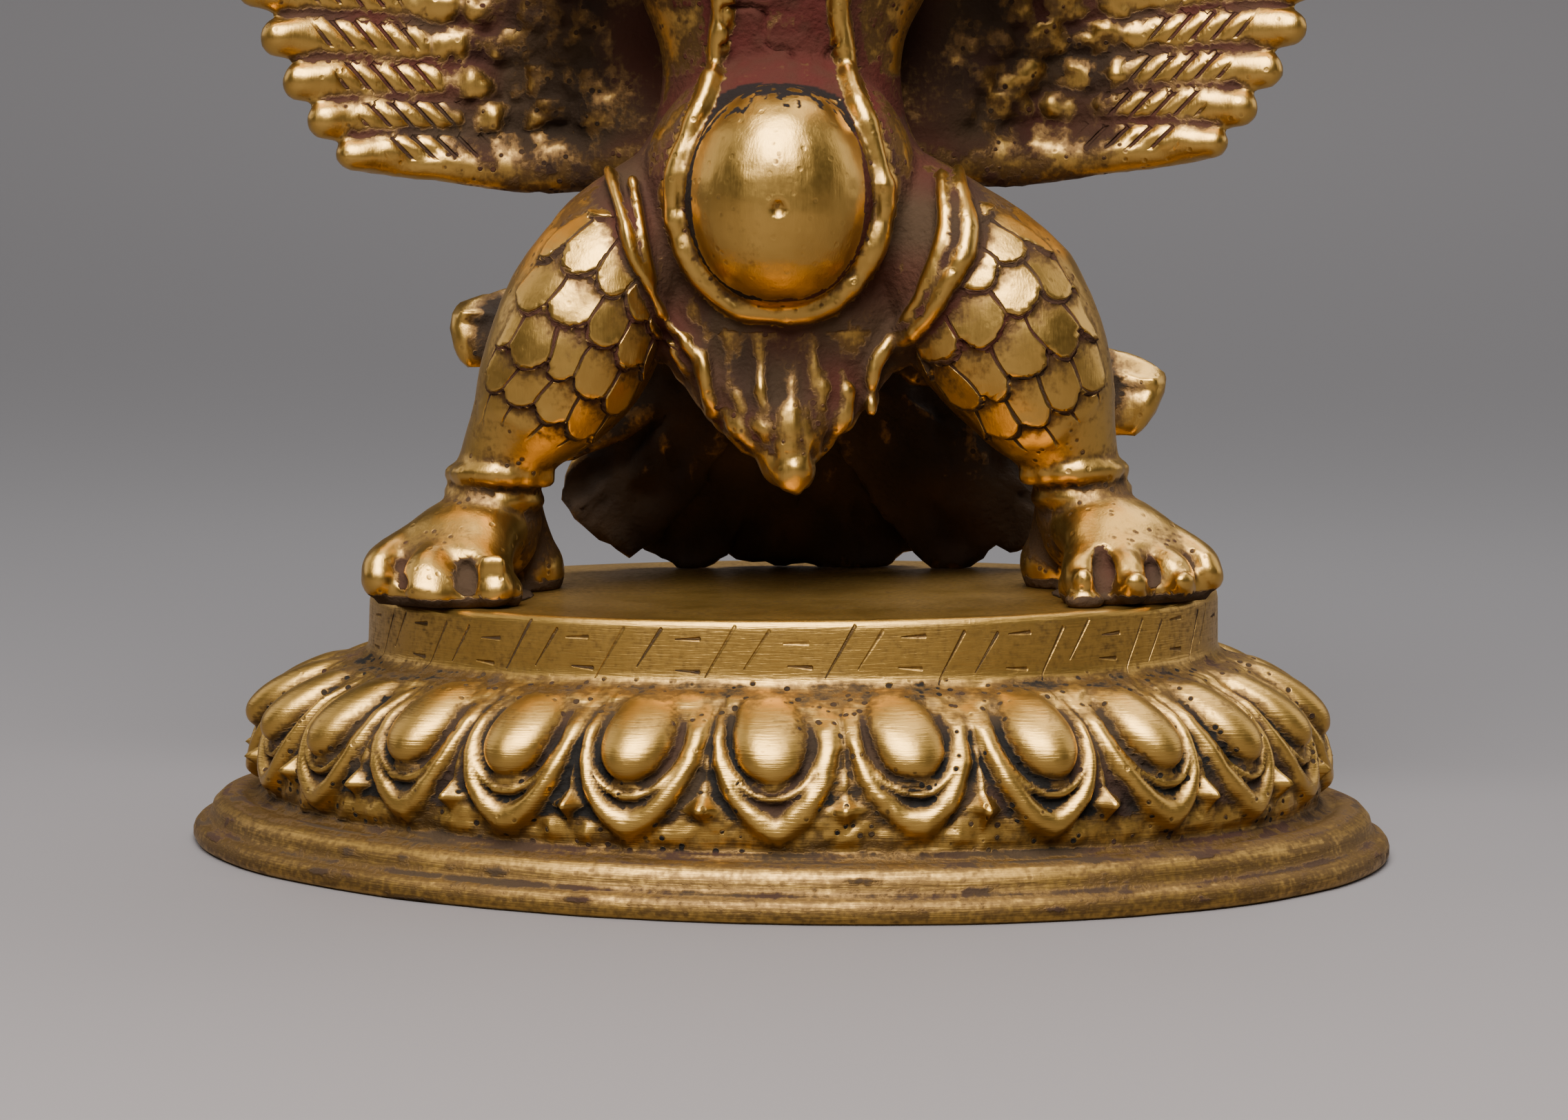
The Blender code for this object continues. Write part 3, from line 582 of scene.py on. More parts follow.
def right_toes():
    """Four toes with nails, and a lump of braze metal under the inner one."""
    return [
        strand([(22.0, -8.2, 3.3, 1.5, 1.6), (21.4, -11.6, 2.6, 1.4, 1.6), (21.2, -13.2, 1.5, 1.2, 1.3)]),
        strand([(23.8, -8.4, 3.4, 1.6, 1.6), (24.7, -12.0, 2.5, 1.5, 1.6), (24.9, -13.9, 1.3, 1.3, 1.2)]),
        strand([(25.8, -8.2, 3.2, 1.7, 1.7), (27.9, -11.2, 2.4, 1.6, 1.6), (28.4, -12.6, 1.3, 1.4, 1.2)]),
        strand([(28.0, -6.6, 3.9, 1.8, 1.8), (30.4, -8.8, 3.0, 1.3, 1.7), (30.9, -9.8, 1.9, 1.2, 1.5)]),
        ball((21.3, -14.5, 2.0), (0.8, 0.6, 0.95)),
        ball((25.1, -15.0, 1.9), (0.95, 0.6, 0.9), (0, 0, 12)),
        ball((28.7, -13.7, 1.8), (0.95, 0.6, 0.85), (0, 0, 30)),
        ball((21.4, -14.2, 0.5), (1.5, 1.1, 0.7)),
    ]


TORSO_ROWS = [
    (0, 1.5, 20, 8.0, 6.0),
    (0, 0, 25, 12.0, 8.4),
    (0, -0.6, 30, 12.6, 8.8),
    (0, 0, 35.5, 9.6, 7.6),
    (0, 0, 41, 9.2, 7.0),
    (0, 0, 47, 11.6, 7.6),
    (0, 0, 54, 13.4, 8.0),
    (0, 0.4, 59, 11.6, 6.6),
    (0, 0.2, 64, 6.2, 5.4),
]


def torso_forms():
    """The trunk with its round belly, the hips, and the cloth that hangs to a blunt tip between the legs."""
    return [
        strand(TORSO_ROWS, sides=40, rings=40),
        ball((0, -4.5, 29.8), (10.6, 8.0, 11.0)),
        ball((0, -10.4, 29.9), (6.9, 6.8, 8.2)),
        *both_sides([ball((8.8, -3.0, 26.5), (4.6, 4.8, 8.4), (0, -10, 0))]),
        strand(
            [(0, -3, 25, 10.6, 6.6), (0, -4.6, 20, 9.9, 5.6), (0, -6.0, 16, 7.5, 4.0), (0, -7.6, 12.4, 4.4, 3.0)]
            + [(0, -8.8, 9.9, 1.7, 1.7)],
            sides=32,
            rings=24,
        ),
        ball((0.5, -9.4, 9.7), (1.75, 1.6, 1.7)),
    ]


def front_of(forms):
    """A search for the y of the forms' front surface at x and z, or of the nearest surface beside them."""
    points, faces = joined(forms)
    shell = BVHTree.FromPolygons(points.tolist(), faces)

    def found(x, z):
        hit = shell.ray_cast(Vector((x, -60, z)), Vector((0, 1, 0)))[0]
        return (hit or shell.find_nearest(Vector((x, -9, z)))[0]).y

    return found


def laid(front, path, out=0.3, rings=24, **shape):
    """A strand laid on the front surface, along a path of x, z, half width, half thickness."""
    path = smooth_rows(path, rings)
    rows = [(x, front(x, z) - out, z, wide, thick) for x, z, wide, thick in path]
    return strand(rows, rings=rings, sides=10, **shape)


# Half the cord's path round the belly and up the chest: x, z.
CORD = [(0, 21.3), (3.2, 21.8), (6.0, 24.2), (7.6, 28), (7.6, 31.2), (6.6, 34.6), (5.4, 37.6)]
CORD += [(4.6, 41), (4.3, 45), (5.2, 50), (7.2, 55), (8.6, 59)]


def dress_forms(front):
    """The cord round the belly, the hems that run from the hips into the cloth, and the cloth's ragged feathers."""
    hems = [
        [(-12.8, 31.5, 0.6, 1.1), (-12.1, 28, 0.75, 1.2), (-11.1, 25.4, 0.65, 1.0), (-9.7, 23.4, 0.5, 0.8)]
        + [(-8.4, 20.8, 0.5, 0.9), (-6.6, 18.9, 0.5, 0.9), (-5.7, 16.6, 0.75, 1.1), (-5.35, 14.0, 0.5, 0.6)],
        [(-11.0, 31.0, 0.5, 0.9), (-10.6, 28.1, 0.6, 1.1), (-9.9, 25.4, 0.55, 0.9), (-9.3, 23.8, 0.4, 0.6)],
        [(13.3, 31.5, 0.6, 1.1), (13.3, 28, 0.75, 1.2), (12.5, 25.4, 0.7, 1.1), (11.6, 23.4, 0.6, 1.0)]
        + [(10.4, 20.8, 0.55, 0.9), (8.7, 18.9, 0.7, 0.9)],
        [(12.0, 31.4, 0.5, 0.9), (11.9, 28.3, 0.65, 1.1), (11.1, 25.4, 0.6, 1.0), (9.6, 21.6, 0.45, 0.8)]
        + [(7.9, 19.2, 0.5, 0.8), (6.9, 17.4, 0.7, 1.0), (6.6, 15.7, 0.7, 1.0), (6.5, 14.0, 0.5, 0.6)],
    ]
    feathers = [
        [(-3.8, 18.0, 0.4, 0.2), (-3.4, 15.9, 1.0, 0.5), (-2.9, 14.3, 0.3, 0.5)],
        [(-1.4, 17.6, 0.4, 0.2), (-1.4, 15.7, 0.9, 0.5), (-1.2, 14.3, 0.3, 0.5)],
        [(-4.0, 14.8, 0.4, 0.3), (-3.4, 13.2, 1.0, 0.6), (-2.7, 11.8, 0.4, 0.5)],
        [(-1.7, 14.4, 0.4, 0.3), (-1.5, 13.2, 0.9, 0.5), (-1.3, 12.2, 0.3, 0.5)],
        [(0.5, 16.4, 0.4, 0.2), (0.4, 13.8, 0.9, 0.5), (0.1, 11.0, 0.8, 0.6)],
        [(1.9, 14.8, 0.4, 0.3), (1.6, 12.8, 0.8, 0.5), (1.4, 10.8, 0.5, 0.5)],
        [(2.4, 18.2, 0.4, 0.2), (2.7, 16.1, 1.0, 0.5), (2.9, 14.4, 0.3, 0.5)],
        [(4.4, 17.0, 0.4, 0.3), (4.5, 14.8, 1.1, 0.6), (3.9, 12.4, 0.4, 0.5)],
        [(-7.9, 18.9, 0.5, 0.7), (-7.4, 17.7, 0.7, 0.9), (-6.8, 16.7, 0.5, 0.7)],
    ]
    forms = [laid(front, path, out=0.45, notches=0.1, seed=k) for k, path in enumerate(hems)]
    forms += [laid(front, path, out=-0.05, notches=0.25, seed=k) for k, path in enumerate(feathers)]
    forms.append(ball((8.7, front(8.7, 17.9) - 0.2, 17.9), (1.5, 0.9, 0.85), (0, -35, 0)))
    cord = np.array([(-x, z) for x, z in reversed(CORD)] + CORD[1:])
    cord = np.column_stack([cord, np.full(len(cord), 0.85), np.full(len(cord), 1.05)])
    return [*forms, laid(front, cord, out=0.4, rings=84, notches=0.2, seed=21)]


# How far each tail feather strays from an even fan, in degrees, and how much longer it is.
TAIL_STRAYS = (0, 0, 3, -4, 0, 1.5, 2, -7.5, -2)
TAIL_EXTRA = (0, 0.6, 1.9, 1.6, 0, 1.2, 3.4, 3.6, 1.3)


def tail_forms():
    """A fan of nine feathers, each with its shaft, and curled at both sides. Its right side hangs lower."""
    forms = [strand([(0, 5, 30, 7, 4), (0, 8, 23, 8, 3.4), (0, 11, 16, 8, 2.4)], sides=24)]
    for k, (strays, extra) in enumerate(zip(TAIL_STRAYS, TAIL_EXTRA)):
        turn = math.radians(20.4 * (k - 4) - 4.5 + strays)
        side, down = math.sin(turn), math.cos(turn)
        reach = 20.6 + 8.4 * side**4 * (1 + 0.16 * side) + extra
        rows = []
        for share, half in ((0.25, 3), (0.6, 4.6), (0.86, 5.0), (0.96, 4.4)):
            y = 9.6 + 7.4 * share * (0.35 + 0.65 * max(0, down)) - 1.2 * (share > 0.9) * abs(side)
            half *= 1 - 0.38 * side**4 * share
            rows.append((side * reach * share, y + 0.5 * (k % 2), 21 - down * reach * share, half, 1.15))
        forms.append(strand(rows, face=(0, -1, 0.3), sides=20, rings=20))
        shaft = [(x, y - 1.05, z, 0.5, 0.5) for x, y, z, _, _ in rows]
        forms.append(strand(shaft, sides=8, rings=20, notches=0.2, seed=k))
        for stray in (-1.5, 1.5):
            barb = []
            for i, (x, y, z, _, _) in enumerate(rows):
                off = stray * (0.4 + i * 0.25)
                barb.append((x + off * down, y - 0.95, z + off * side, 0.4, 0.5))
            forms.append(strand(barb, sides=8, rings=20, notches=0.3, seed=k + 20))
    return forms


# The long feathers: how many, and the x, z that their tips and their roots run through.
PRIMARIES = 13
TIPS = [(34.2, 33.9), (37.4, 38), (40, 42.8), (42.8, 48.5), (44.8, 56), (45.4, 64), (43.8, 72), (39.8, 79)]
TIPS += [(33.6, 84.4)]
ROOTS = [(15, 34.6), (17.5, 38), (19.5, 42), (21, 46), (22, 50.5), (22, 55.5), (21, 60), (19, 64), (16, 67.5)]
primary_tips, primary_roots = smooth_rows(TIPS, PRIMARIES), smooth_rows(ROOTS, PRIMARIES)


def wing_depth(share):
    """The y of the wing's middle, from its root to its tips, which cup forwards."""
    return 9.4 + 1.2 * math.sin(math.pi * share) - 3.6 * share**2


def primary_rows(tip, root, thin=1.0):
    """The rows of one long feather."""
    rows = []
    for share, half in ((0.0, 1.7), (0.45, 1.75), (0.8, 1.8), (0.96, 1.45)):
        x, z = root + (tip - root) * share
        rows.append((x, wing_depth(0.35 + 0.65 * share), z, half * thin, 1.35))
    return rows


def wing_forms():
    """A thick inner panel, a top edge and a smooth lower rim, thirteen long feathers, and the web behind them."""
    forms = [
        strand(
            [(9, 7.5, 36, 5, 2.2), (12, 9, 42, 9, 2.3), (14, 9.4, 52, 11, 2.4), (15.5, 9.4, 61, 9, 2.3)]
            + [(20, 9, 70, 6, 2.0)],
            sides=24,
        ),
        strand([(8, 4, 57, 4, 3.4), (13, 7, 64, 3.6, 3), (20, 8.4, 72, 3, 2.6), (28, 7.6, 79.5, 2.4, 2.2)]),
        strand(
            [(8, 6.5, 33.6, 2.6, 2), (18, 8.6, 32.7, 2.1, 1.5), (27, 7.8, 33.2, 1.5, 1.3)]
            + [(32.5, 6.9, 33.7, 1.2, 1.2)]
        ),
    ]
    for k, (tip, root) in enumerate(zip(primary_tips, primary_roots)):
        forms.append(strand(primary_rows(tip, root, thin=0.85 if k == 0 else 1.0), sides=20, rings=24))
        if k:
            middle, start = (tip + primary_tips[k - 1]) / 2, (root + primary_roots[k - 1]) / 2
            web = [(*(start + (middle - start) * share), share) for share in (0, 0.4, 0.8)]
            rows = [(x, wing_depth(0.35 + 0.6 * share) + 0.5, z, 2.4, 1.0) for x, z, share in web]
            forms.append(strand(rows, rings=12))
    return both_sides(forms)


def arm_forms():
    """Both arms, bent up to the serpent, with an armlet, a bangle and three fingers each."""
    upper = strand(
        [(11.5, 0, 58.5, 4, 4), (16.5, -0.6, 57, 3.8, 3.8), (19.4, -2, 52.6, 3.2, 3.2), (20.2, -3.6, 49.6, 3, 3)],
        rings=24,
    )
    fore = strand([(20.2, -3.4, 49.4, 3, 3), (17.6, -8.4, 52, 2.7, 2.7), (13.4, -11.6, 56.4, 2.2, 2.2)], rings=24)
    hand = ball((12, -12.6, 58.4), (2.7, 2.4, 3.0), (0, -30, 0))
    armlet = ball((18.2, -1.2, 55), (4.2, 4.2, 1.2), (0, 35, 0))
    bangle = ball((14.6, -10.8, 55.2), (2.9, 2.9, 0.9), (35, -40, 0))
    fingers = [
        strand(
            [(10.4, -13.2, 57 + k, 0.8, 0.8), (11.4, -15.2, 57.4 + k, 0.8, 0.8), (13.4, -14.4, 57.6 + k, 0.8, 0.8)],
            rings=10,
        )
        for k in (0, 1.5, 3)
    ]
    return both_sides([upper, fore, hand, armlet, bangle, *fingers])


def snake_forms():
    """The serpent that both hands hold and the beak bites, its two ends hanging down."""
    half = [(0, -16.4, 66.2), (4.4, -16, 65.6), (8.6, -14.6, 63), (11.4, -13.6, 58.6), (12.6, -13, 54)]
    half += [(11, -12.4, 50.4), (8.2, -11.2, 49.8)]
    rows = [(*p, *[1.3 - 0.35 * max(0, k - 4) / 2] * 2) for k, p in enumerate(half)]
    return both_sides([strand(rows, sides=12, rings=60, notches=0.06)])


def head_forms():
    """A bird's head with a hooked beak, bulging eyes, brows, ears with rings, flaming hair and a jewel on top."""
    beak_top = strand(
        [(0, -7, 71.4, 4.0, 3.4), (0, -12.4, 71, 3.2, 2.9), (0, -16.4, 69, 2.2, 2.2), (0, -17.6, 65.8, 1.0, 1.2)],
        face=(0, 0, 1),
        rings=24,
    )
    beak_low = strand([(0, -6, 66.6, 3.2, 2), (0, -11, 65.6, 2.5, 1.6), (0, -14, 64.6, 1.5, 1.1)], face=(0, 0, 1))
    collar = ball((0, 0, 63.4), (8.6, 7.6, 2.0), (8, 0, 0))
    sides = [
        ball((4.5, -8.2, 73.6), (2.3, 1.9, 2.1)),
        ball((4.8, -9.9, 73.7), (0.9, 0.5, 0.8)),
        strand(
            [(1.4, -9.6, 75.6, 1, 0.9), (4.6, -9.8, 76.8, 1.1, 1), (7.6, -7, 78, 1, 0.9)]
            + [(9.4, -4.6, 80.2, 0.6, 0.6)]
        ),
        ball((9.2, -0.4, 72), (1.8, 2.6, 3.4), (0, 12, 0)),
        ball((9.8, -1.2, 67.4), (1.7, 1.7, 2.0)),
        strand(
            [(4.6, -2.6, 80, 2.2, 2.2), (8.8, -3, 84.4, 1.9, 1.9), (10, -3, 89.4, 1.4, 1.4)]
            + [(7.8, -3, 94, 0.7, 0.7)]
        ),
        strand([(7, 3, 78, 2.4, 2), (11, 4.4, 81.6, 1.8, 1.6), (11.6, 4.4, 86.2, 0.8, 0.8)]),
        strand([(6, -7.6, 67, 1.4, 1.2), (9.2, -8, 65, 1.2, 1), (10.6, -7.4, 67.6, 0.7, 0.6)]),
    ]
    crest = [
        ball((0, -1.4, 72.4), (9.2, 9.0, 9.2)),
        strand(
            [(0, -2, 78, 6.6, 6), (0, -0.6, 84, 5.6, 5), (0, 0.6, 90, 4, 3.6), (0, 0.8, 95.5, 1.8, 1.8)],
            sides=24,
        ),
        *both_sides([strand([(3, 1, 84, 2.4, 2.4), (5.8, 1.6, 90, 1.8, 1.8), (4.6, 1.6, 95.4, 0.7, 0.7)])]),
        ball((0, -5.6, 84.6), (2.0, 1.6, 2.9)),
        ball((0, 0.8, 99.4), (2.3, 2.3, 3.4)),
        strand([(0, 0.8, 100, 1.4, 1.4), (0, 0.8, 102, 0.9, 0.9), (0, 0.8, FIGURE_HEIGHT, 0.4, 0.4)], rings=6),
    ]
    return [beak_top, beak_low, collar, *crest, *both_sides(sides)]


def plain_mesh(obj):
    """The object's mesh with its modifiers applied."""
    made = bpy.data.meshes.new_from_object(obj.evaluated_get(bpy.context.evaluated_depsgraph_get()))
    obj.modifiers.clear()
    return made


def fused(forms):
    """One skin round all the forms, in mm."""
    points, faces = joined(forms)
    mesh = bpy.data.meshes.new("garuda_figure_cast")
    mesh.from_pydata(points.tolist(), [], faces)
    obj = bpy.data.objects.new("garuda_figure_cast", mesh)
    bpy.context.scene.collection.objects.link(obj)
    fuse = obj.modifiers.new("fuse", "REMESH")
    fuse.mode = "VOXEL"
    fuse.voxel_size = VOXEL
    obj.data = plain_mesh(obj)
    return obj


def place_on(points, rows, face=FRONT, samples=80):
    """Where each point lies on a strand: mm along it, mm to its wide side, mm to its face, and its half width."""
    rows = smooth_rows(rows, samples)
    at = np.argmin((rows[:, :3] ** 2).sum(1) - 2 * points @ rows[:, :3].T, axis=1)
    length = np.concatenate([[0], np.cumsum(np.linalg.norm(np.diff(rows[:, :3], axis=0), axis=1))])
    along, wide, thick = (axis[at] for axis in axes_along(rows, face))
    off = points - rows[at, :3]
    return length[at] + (off * along).sum(1), (off * wide).sum(1), (off * thick).sum(1), rows[at, 3]


def folded(points):
    """The points with the left side folded over onto the right."""
    return points * np.column_stack([np.sign(points[:, 0]), np.ones(len(points)), np.ones(len(points))])


# The scales: mm from row to row, how many go round a limb, and how far a scale's edge bows down, in rows.
SCALE_ROW = 2.85
SCALES_ROUND = 13.0
SCALE_BOW = 0.33

# How far out the hems lie at these heights, where the scales stop.
HEM_HEIGHTS = (18.9, 20.8, 23.4, 25.4, 28, 31.5)
LEFT_HEM, RIGHT_HEM = (6.6, 8.4, 9.7, 11.1, 12.1, 12.8), (8.7, 10.4, 11.6, 12.5, 13.3, 13.3)


def leg_scales(points):
    """Rows down the thigh, scales round it, and how surely a point is on the scaled skin."""
    down, round_, masks = np.zeros(len(points)), np.zeros(len(points)), np.zeros(len(points))
    x, y, z = points.T
    near = np.flatnonzero((z < 34) & (z > 8) & (np.abs(x) > 7) & (y < 5))
    s, wide, thick, half = place_on(folded(points[near]), LIMB)
    angle = np.arctan2(wide, thick)
    mask = np.clip((0.3 - np.abs(np.hypot(wide, thick) / half - 1)) / 0.1, 0, 1)
    frayed = 0.5 * (grain(points[near], 1.8, 41) - 0.5)
    mask *= np.clip((s - 3.5 - 3 * frayed) / 1.0, 0, 1) * np.clip((22.5 + 5 * frayed - s) / 1.2, 0, 1)
    mask *= np.clip((angle + 1.02 + 0.3 * frayed) / 0.08, 0, 1) * np.clip((1.25 - angle) / 0.1, 0, 1)
    hem = np.where(x[near] < 0, *(np.interp(z[near], HEM_HEIGHTS, widths) for widths in (LEFT_HEM, RIGHT_HEM)))
    mask *= np.clip((np.abs(x[near]) - hem - 0.9) / 0.4, 0, 1) * np.clip((29.4 + 3 * frayed - z[near]) / 0.8, 0, 1)
    down[near] = s / SCALE_ROW + 0.36 * (grain(points[near], 3.4, 42) - 0.5)
    round_[near] = angle / (2 * math.pi) * SCALES_ROUND + 0.4 * (grain(points[near], 3.0, 43) - 0.5)
    masks[near] = mask
    return down, round_, masks


def scale_lift(down, round_):
    """How far an overlapping scale stands out, from 0 at its root to 1 at its lower edge."""
    row = np.floor(down)
    part = down - row
    above = (round_ + 0.5 * ((row - 1) % 2)) % 1 - 0.5
    own = (round_ + 0.5 * (row % 2)) % 1 - 0.5
    above_edge = 1 + SCALE_BOW * (1 - np.abs(2 * above) ** 2.4)
    own_edge = 1 + SCALE_BOW * (1 - np.abs(2 * own) ** 2.4)
    return np.where(part + 1 < above_edge, (part + 1) / above_edge, part / own_edge) ** 1.5


# Mm from cut to cut across a long feather, and from one covert to the next along it.
BARB_PITCH = 1.75
COVERT_PITCH = 4.1


def wing_relief(points):
    """Stripes along each long feather, how bare of coverts it is, and the bulge of the coverts further in."""
    near = np.flatnonzero((np.abs(points[:, 0]) > 11) & (points[:, 1] > 1) & (points[:, 2] > 27))
    right = folded(points[near])
    best = np.full(len(near), 99.0)
    stripe, bare, covert = np.zeros(len(points)), np.zeros(len(points)), np.zeros(len(points))
    for k, (tip, root) in enumerate(zip(primary_tips, primary_roots)):
        s, wide, thick, half = place_on(right, primary_rows(tip, root), samples=24)
        reach = np.linalg.norm(tip - root)
        closer = np.abs(wide) < best
        best = np.where(closer, np.abs(wide), best)
        upper = np.clip((0.35 * half - wide) / 0.35, 0, 1) * (np.abs(wide) < half)
        shown = np.clip((s - 0.42 * reach) / 1.5, 0, 1) * np.clip((0.86 * reach - s) / 1.2, 0, 1)
        part = (s + 20 + 1.3 * math.sin(7.0 * k) + 0.5 * np.sign(points[near, 0])) / COVERT_PITCH % 1
        dome = np.clip(1 - np.abs(2 * part - 1.05) ** 2.4 - (np.abs(wide) / 2.1) ** 2.4, 0, 1)
        dome *= np.clip((0.46 * reach - s) / 1.5, 0, 1)
        stripe[near] = np.where(closer, (s + 0.9 * wide) / BARB_PITCH, stripe[near])
        bare[near] = np.where(closer, shown * upper, bare[near])
        covert[near] = np.where(closer, dome, covert[near])
    return stripe, bare, covert


# The middle and the radii of each hollow between the toes.
POCKETS = (
    ((-23.7, -13.4, 2.2), (0.95, 3, 1.5)),
    ((-28.3, -12.2, 1.9), (0.75, 3, 0.75)),
    ((22.9, -12.8, 2.4), (0.85, 3, 2.1)),
    ((26.5, -12, 2.3), (0.6, 3, 1.2)),
)


def in_pocket(points):
    """How far inside one of the dirty hollows between the toes each point is, from 0 at its edge."""
    return np.max([1 - np.linalg.norm((points - centre) / radii, axis=1) for centre, radii in POCKETS], axis=0)


body = [*both_sides(leg_forms()), *torso_forms()]
figure = fused(
    [
        *body,
        *left_toes(),
        *right_toes(),
        *dress_forms(front_of(body)),
        *tail_forms(),
        *wing_forms(),
        *arm_forms(),
        *snake_forms(),
        *head_forms(),
    ]
)
skin = figure.data
points = array_of(skin.vertices, "co", 3)
points = averaged(points, array_of(skin.edges, "vertices", 2, np.int32), 2)
skin.vertices.foreach_set("co", points.ravel())
skin.update()
normals = array_of(skin.vertex_normals, "vector", 3)
x, y, z = points.T
down, round_, scaled = leg_scales(points)
stripe, bare, covert = wing_relief(points)
wing = np.clip((np.abs(x) - 13) / 2, 0, 1) * np.clip((y - 3.5) / 1, 0, 1) * np.clip((z - 29) / 1, 0, 1)
inner_wing = wing * np.clip((31 - np.abs(x)) / 6, 0, 1) * (1 - np.clip(4 * bare, 0, 1))
tail = np.clip((y - 4) / 2, 0, 1) * np.clip((31 - z) / 1, 0, 1)
cloth = np.clip((21 - z) / 2, 0, 1) * np.clip((10.5 - np.abs(x)) / 1, 0, 1) * (y < 1)
push = 0.44 * scaled * scale_lift(down, round_)
push -= 0.3 * bare * ridge((stripe % 1) - 0.5, 0.14)
lumpy = 0.9 * (grain(points, 1.6, 11) - 0.5) + 0.6 * (grain(points, 0.7, 12) - 0.5)
under = np.clip((z - 33.4) / 2, 0.1, 1)
push += inner_wing * under * (0.5 * covert - 0.2 + 0.7 * lumpy) + (wing - inner_wing) * 0.12 * lumpy
seen = np.clip(0.6 - normals[:, 1], 0.15, 1) * np.clip((26.5 - np.abs(x)) / 3, 0.1, 1)
push += tail * seen * (1.1 * (grain(points * (1, 1, 0.5), 1.1, 13) - 0.5) + 0.6 * lumpy)
push += cloth * 0.55 * (grain(points * (1, 1, 0.3), 0.8, 14) - 0.5)
push += 0.04 * (grain(points, 0.8, 15) - 0.5) + 0.15 * (grain(points, 2.5, 16) - 0.5)
navel = np.hypot(x - NAVEL[0], z - NAVEL[1]) + 9 * (y > -12)
push += 0.07 * ridge(navel - 0.75, 0.16) - 0.42 * np.clip((0.65 - navel) / 0.3, 0, 1)
neck = (np.abs(x) < 4.4) & (y < -3) & (z > 40) & (z < 60)
push -= neck * (0.45 * ridge(grain(points * (1, 1, 1.5), 2.4, 18) - 0.5, 0.04) - 0.3 * lumpy)
bone = np.clip((13 - z) / 3, 0, 1) * (y < 3)
push += bone * 0.12 * (grain(points, 1.9, 17) - 0.5) - (0.5 - 0.5 * lumpy) * np.clip(in_pocket(points) / 0.35, 0, 1)
points += normals * push[:, None]
points[:, 2] = np.maximum(points[:, 2], 0.05)
skin.vertices.foreach_set("co", points.ravel())
skin.update()

keep = figure.vertex_groups.new(name="far")
shares = np.where((np.hypot(x / 8, (z - 29.5) / 9.5) < 1) & (y < -8), 0.09, 0.25)
shares = np.where((navel < 1.5) & (y < -12), 0.02, shares)
shares = np.where((y < 6) & (z < 48), shares, np.where((z < 50) & (wing > 0), 0.4, 1.0))
for level in np.unique(shares):
    keep.add(np.flatnonzero(shares == level).tolist(), float(level), "REPLACE")
thin = figure.modifiers.new("thin", "DECIMATE")
thin.ratio = min(1, FIGURE_FACES / (2 * len(skin.polygons)))
thin.vertex_group = "far"
figure.data = plain_mesh(figure)
figure.vertex_groups.clear()
figure_mesh = figure.data
points = array_of(figure_mesh.vertices, "co", 3)
x, y, z = points.T
down, round_, scaled = leg_scales(points)
stripe, bare, covert = wing_relief(points)
store(figure_mesh, "scale_down", down)
store(figure_mesh, "scale_round", round_)
store(figure_mesh, "scaled", scaled)
store(figure_mesh, "stripe", stripe)
store(figure_mesh, "bare", bare)
figure_mesh.vertices.foreach_set("co", (points * MM).ravel())
figure_mesh.update()
raised = standing(figure_mesh, 24) + 0.7 * standing(figure_mesh, 5)
far_out = np.clip((np.abs(x) - 16) / 12, 0, 1)
wing = np.clip((np.abs(x) - 12) / 2, 0, 1) * np.clip((y - 3) / 1, 0, 1) * np.clip((z - 28) / 1, 0, 1)
feathered = wing * np.clip((np.abs(x) - 25.5) / 2.5, 0, 1) * (y < 10)
inner_wing = (wing - feathered) * (y < 11)
tail = np.clip((y - 4) / 2, 0, 1) * np.clip((31 - z) / 1, 0, 1)
speckle = grain(points, 0.9, 24) - 0.5
cracks = ridge(grain(points * (1, 1, 1.5), 2.4, 18) - 0.5, 0.035) * (z > 40)
cloud = grain(points, 3.2, 25) - 0.5
cord_gap = np.min([np.hypot(np.abs(x) - a, z - b) for a, b in smooth_rows(CORD, 60)], axis=0)
cord_out, cord_up = zip(*CORD)
in_cord = np.interp(z, cord_up, cord_out, left=0)
on_cord = (cord_gap < 0.95) & (y < -3) & (z < 60)
between = (np.abs(x) < in_cord) & ~on_cord & (y < -2) & (z > 21) & (z < 62)
jagged = 0.75 * (grain(points * (1, 1, 0.22), 0.5, 21) - 0.5) * np.clip((z - 33) / 3, 0.12, 1)
dome = 1 - (np.abs(x / 6.5) ** 2.4 + np.abs((z - 29.9) / 7.7) ** 2.4)
on_dome = between & (dome > 0.08 + jagged)
facing = array_of(figure_mesh.vertex_normals, "vector", 3)
hip = 15.2 + 4 * cloud + 2.5 * np.clip(z - 27, 0, 1)
trunk = (z > 20) & (z < 60) & (np.abs(x) < hip) & (y < 4) & (scaled < 0.4) & (raised < 0.22)
# The figure's wear, from 0 to 1. Besides real wear it carries painted shade and painted light, each marked where it
# is set.
wear_and_painted_light = 0.6 + 1.3 * raised + 0.2 * cloud
# Each scale is set darker at its root and brighter at its lower edge: partly real wear of the raised edge, partly
# painted shade and painted highlight.
wear_and_painted_light += scaled * (0.3 * scale_lift(down, round_) - 0.1) + 0.08 * (z < 12) * (1 - tail)
wear_and_painted_light -= 0.4 * trunk + 0.1 * (trunk & (z > 44))
strayed = np.clip(4 * (grain(points * (1, 1, 0.4), 1.1, 26) - 0.58), 0, 1)
wear_and_painted_light += 0.35 * trunk * (z < 42) * strayed
# Painted shade: the body's sides and back between the trunk and the wings are set darker; the back further behind
# keeps its brass.
wear_and_painted_light -= 0.4 * ((z > 29) & (y >= 3) & (y < 12) & (np.abs(x) < 17)) * (1 - inner_wing)
wear_and_painted_light += 0.3 * trunk * ((z > 39) & (np.abs(x - 1) > in_cord)) * (0.8 + 1.6 * speckle)
wear_and_painted_light -= 0.3 * np.clip((21 - z) / 2, 0, 1) * (np.abs(x) < 9.5) * (z > 11) * (y < 1)
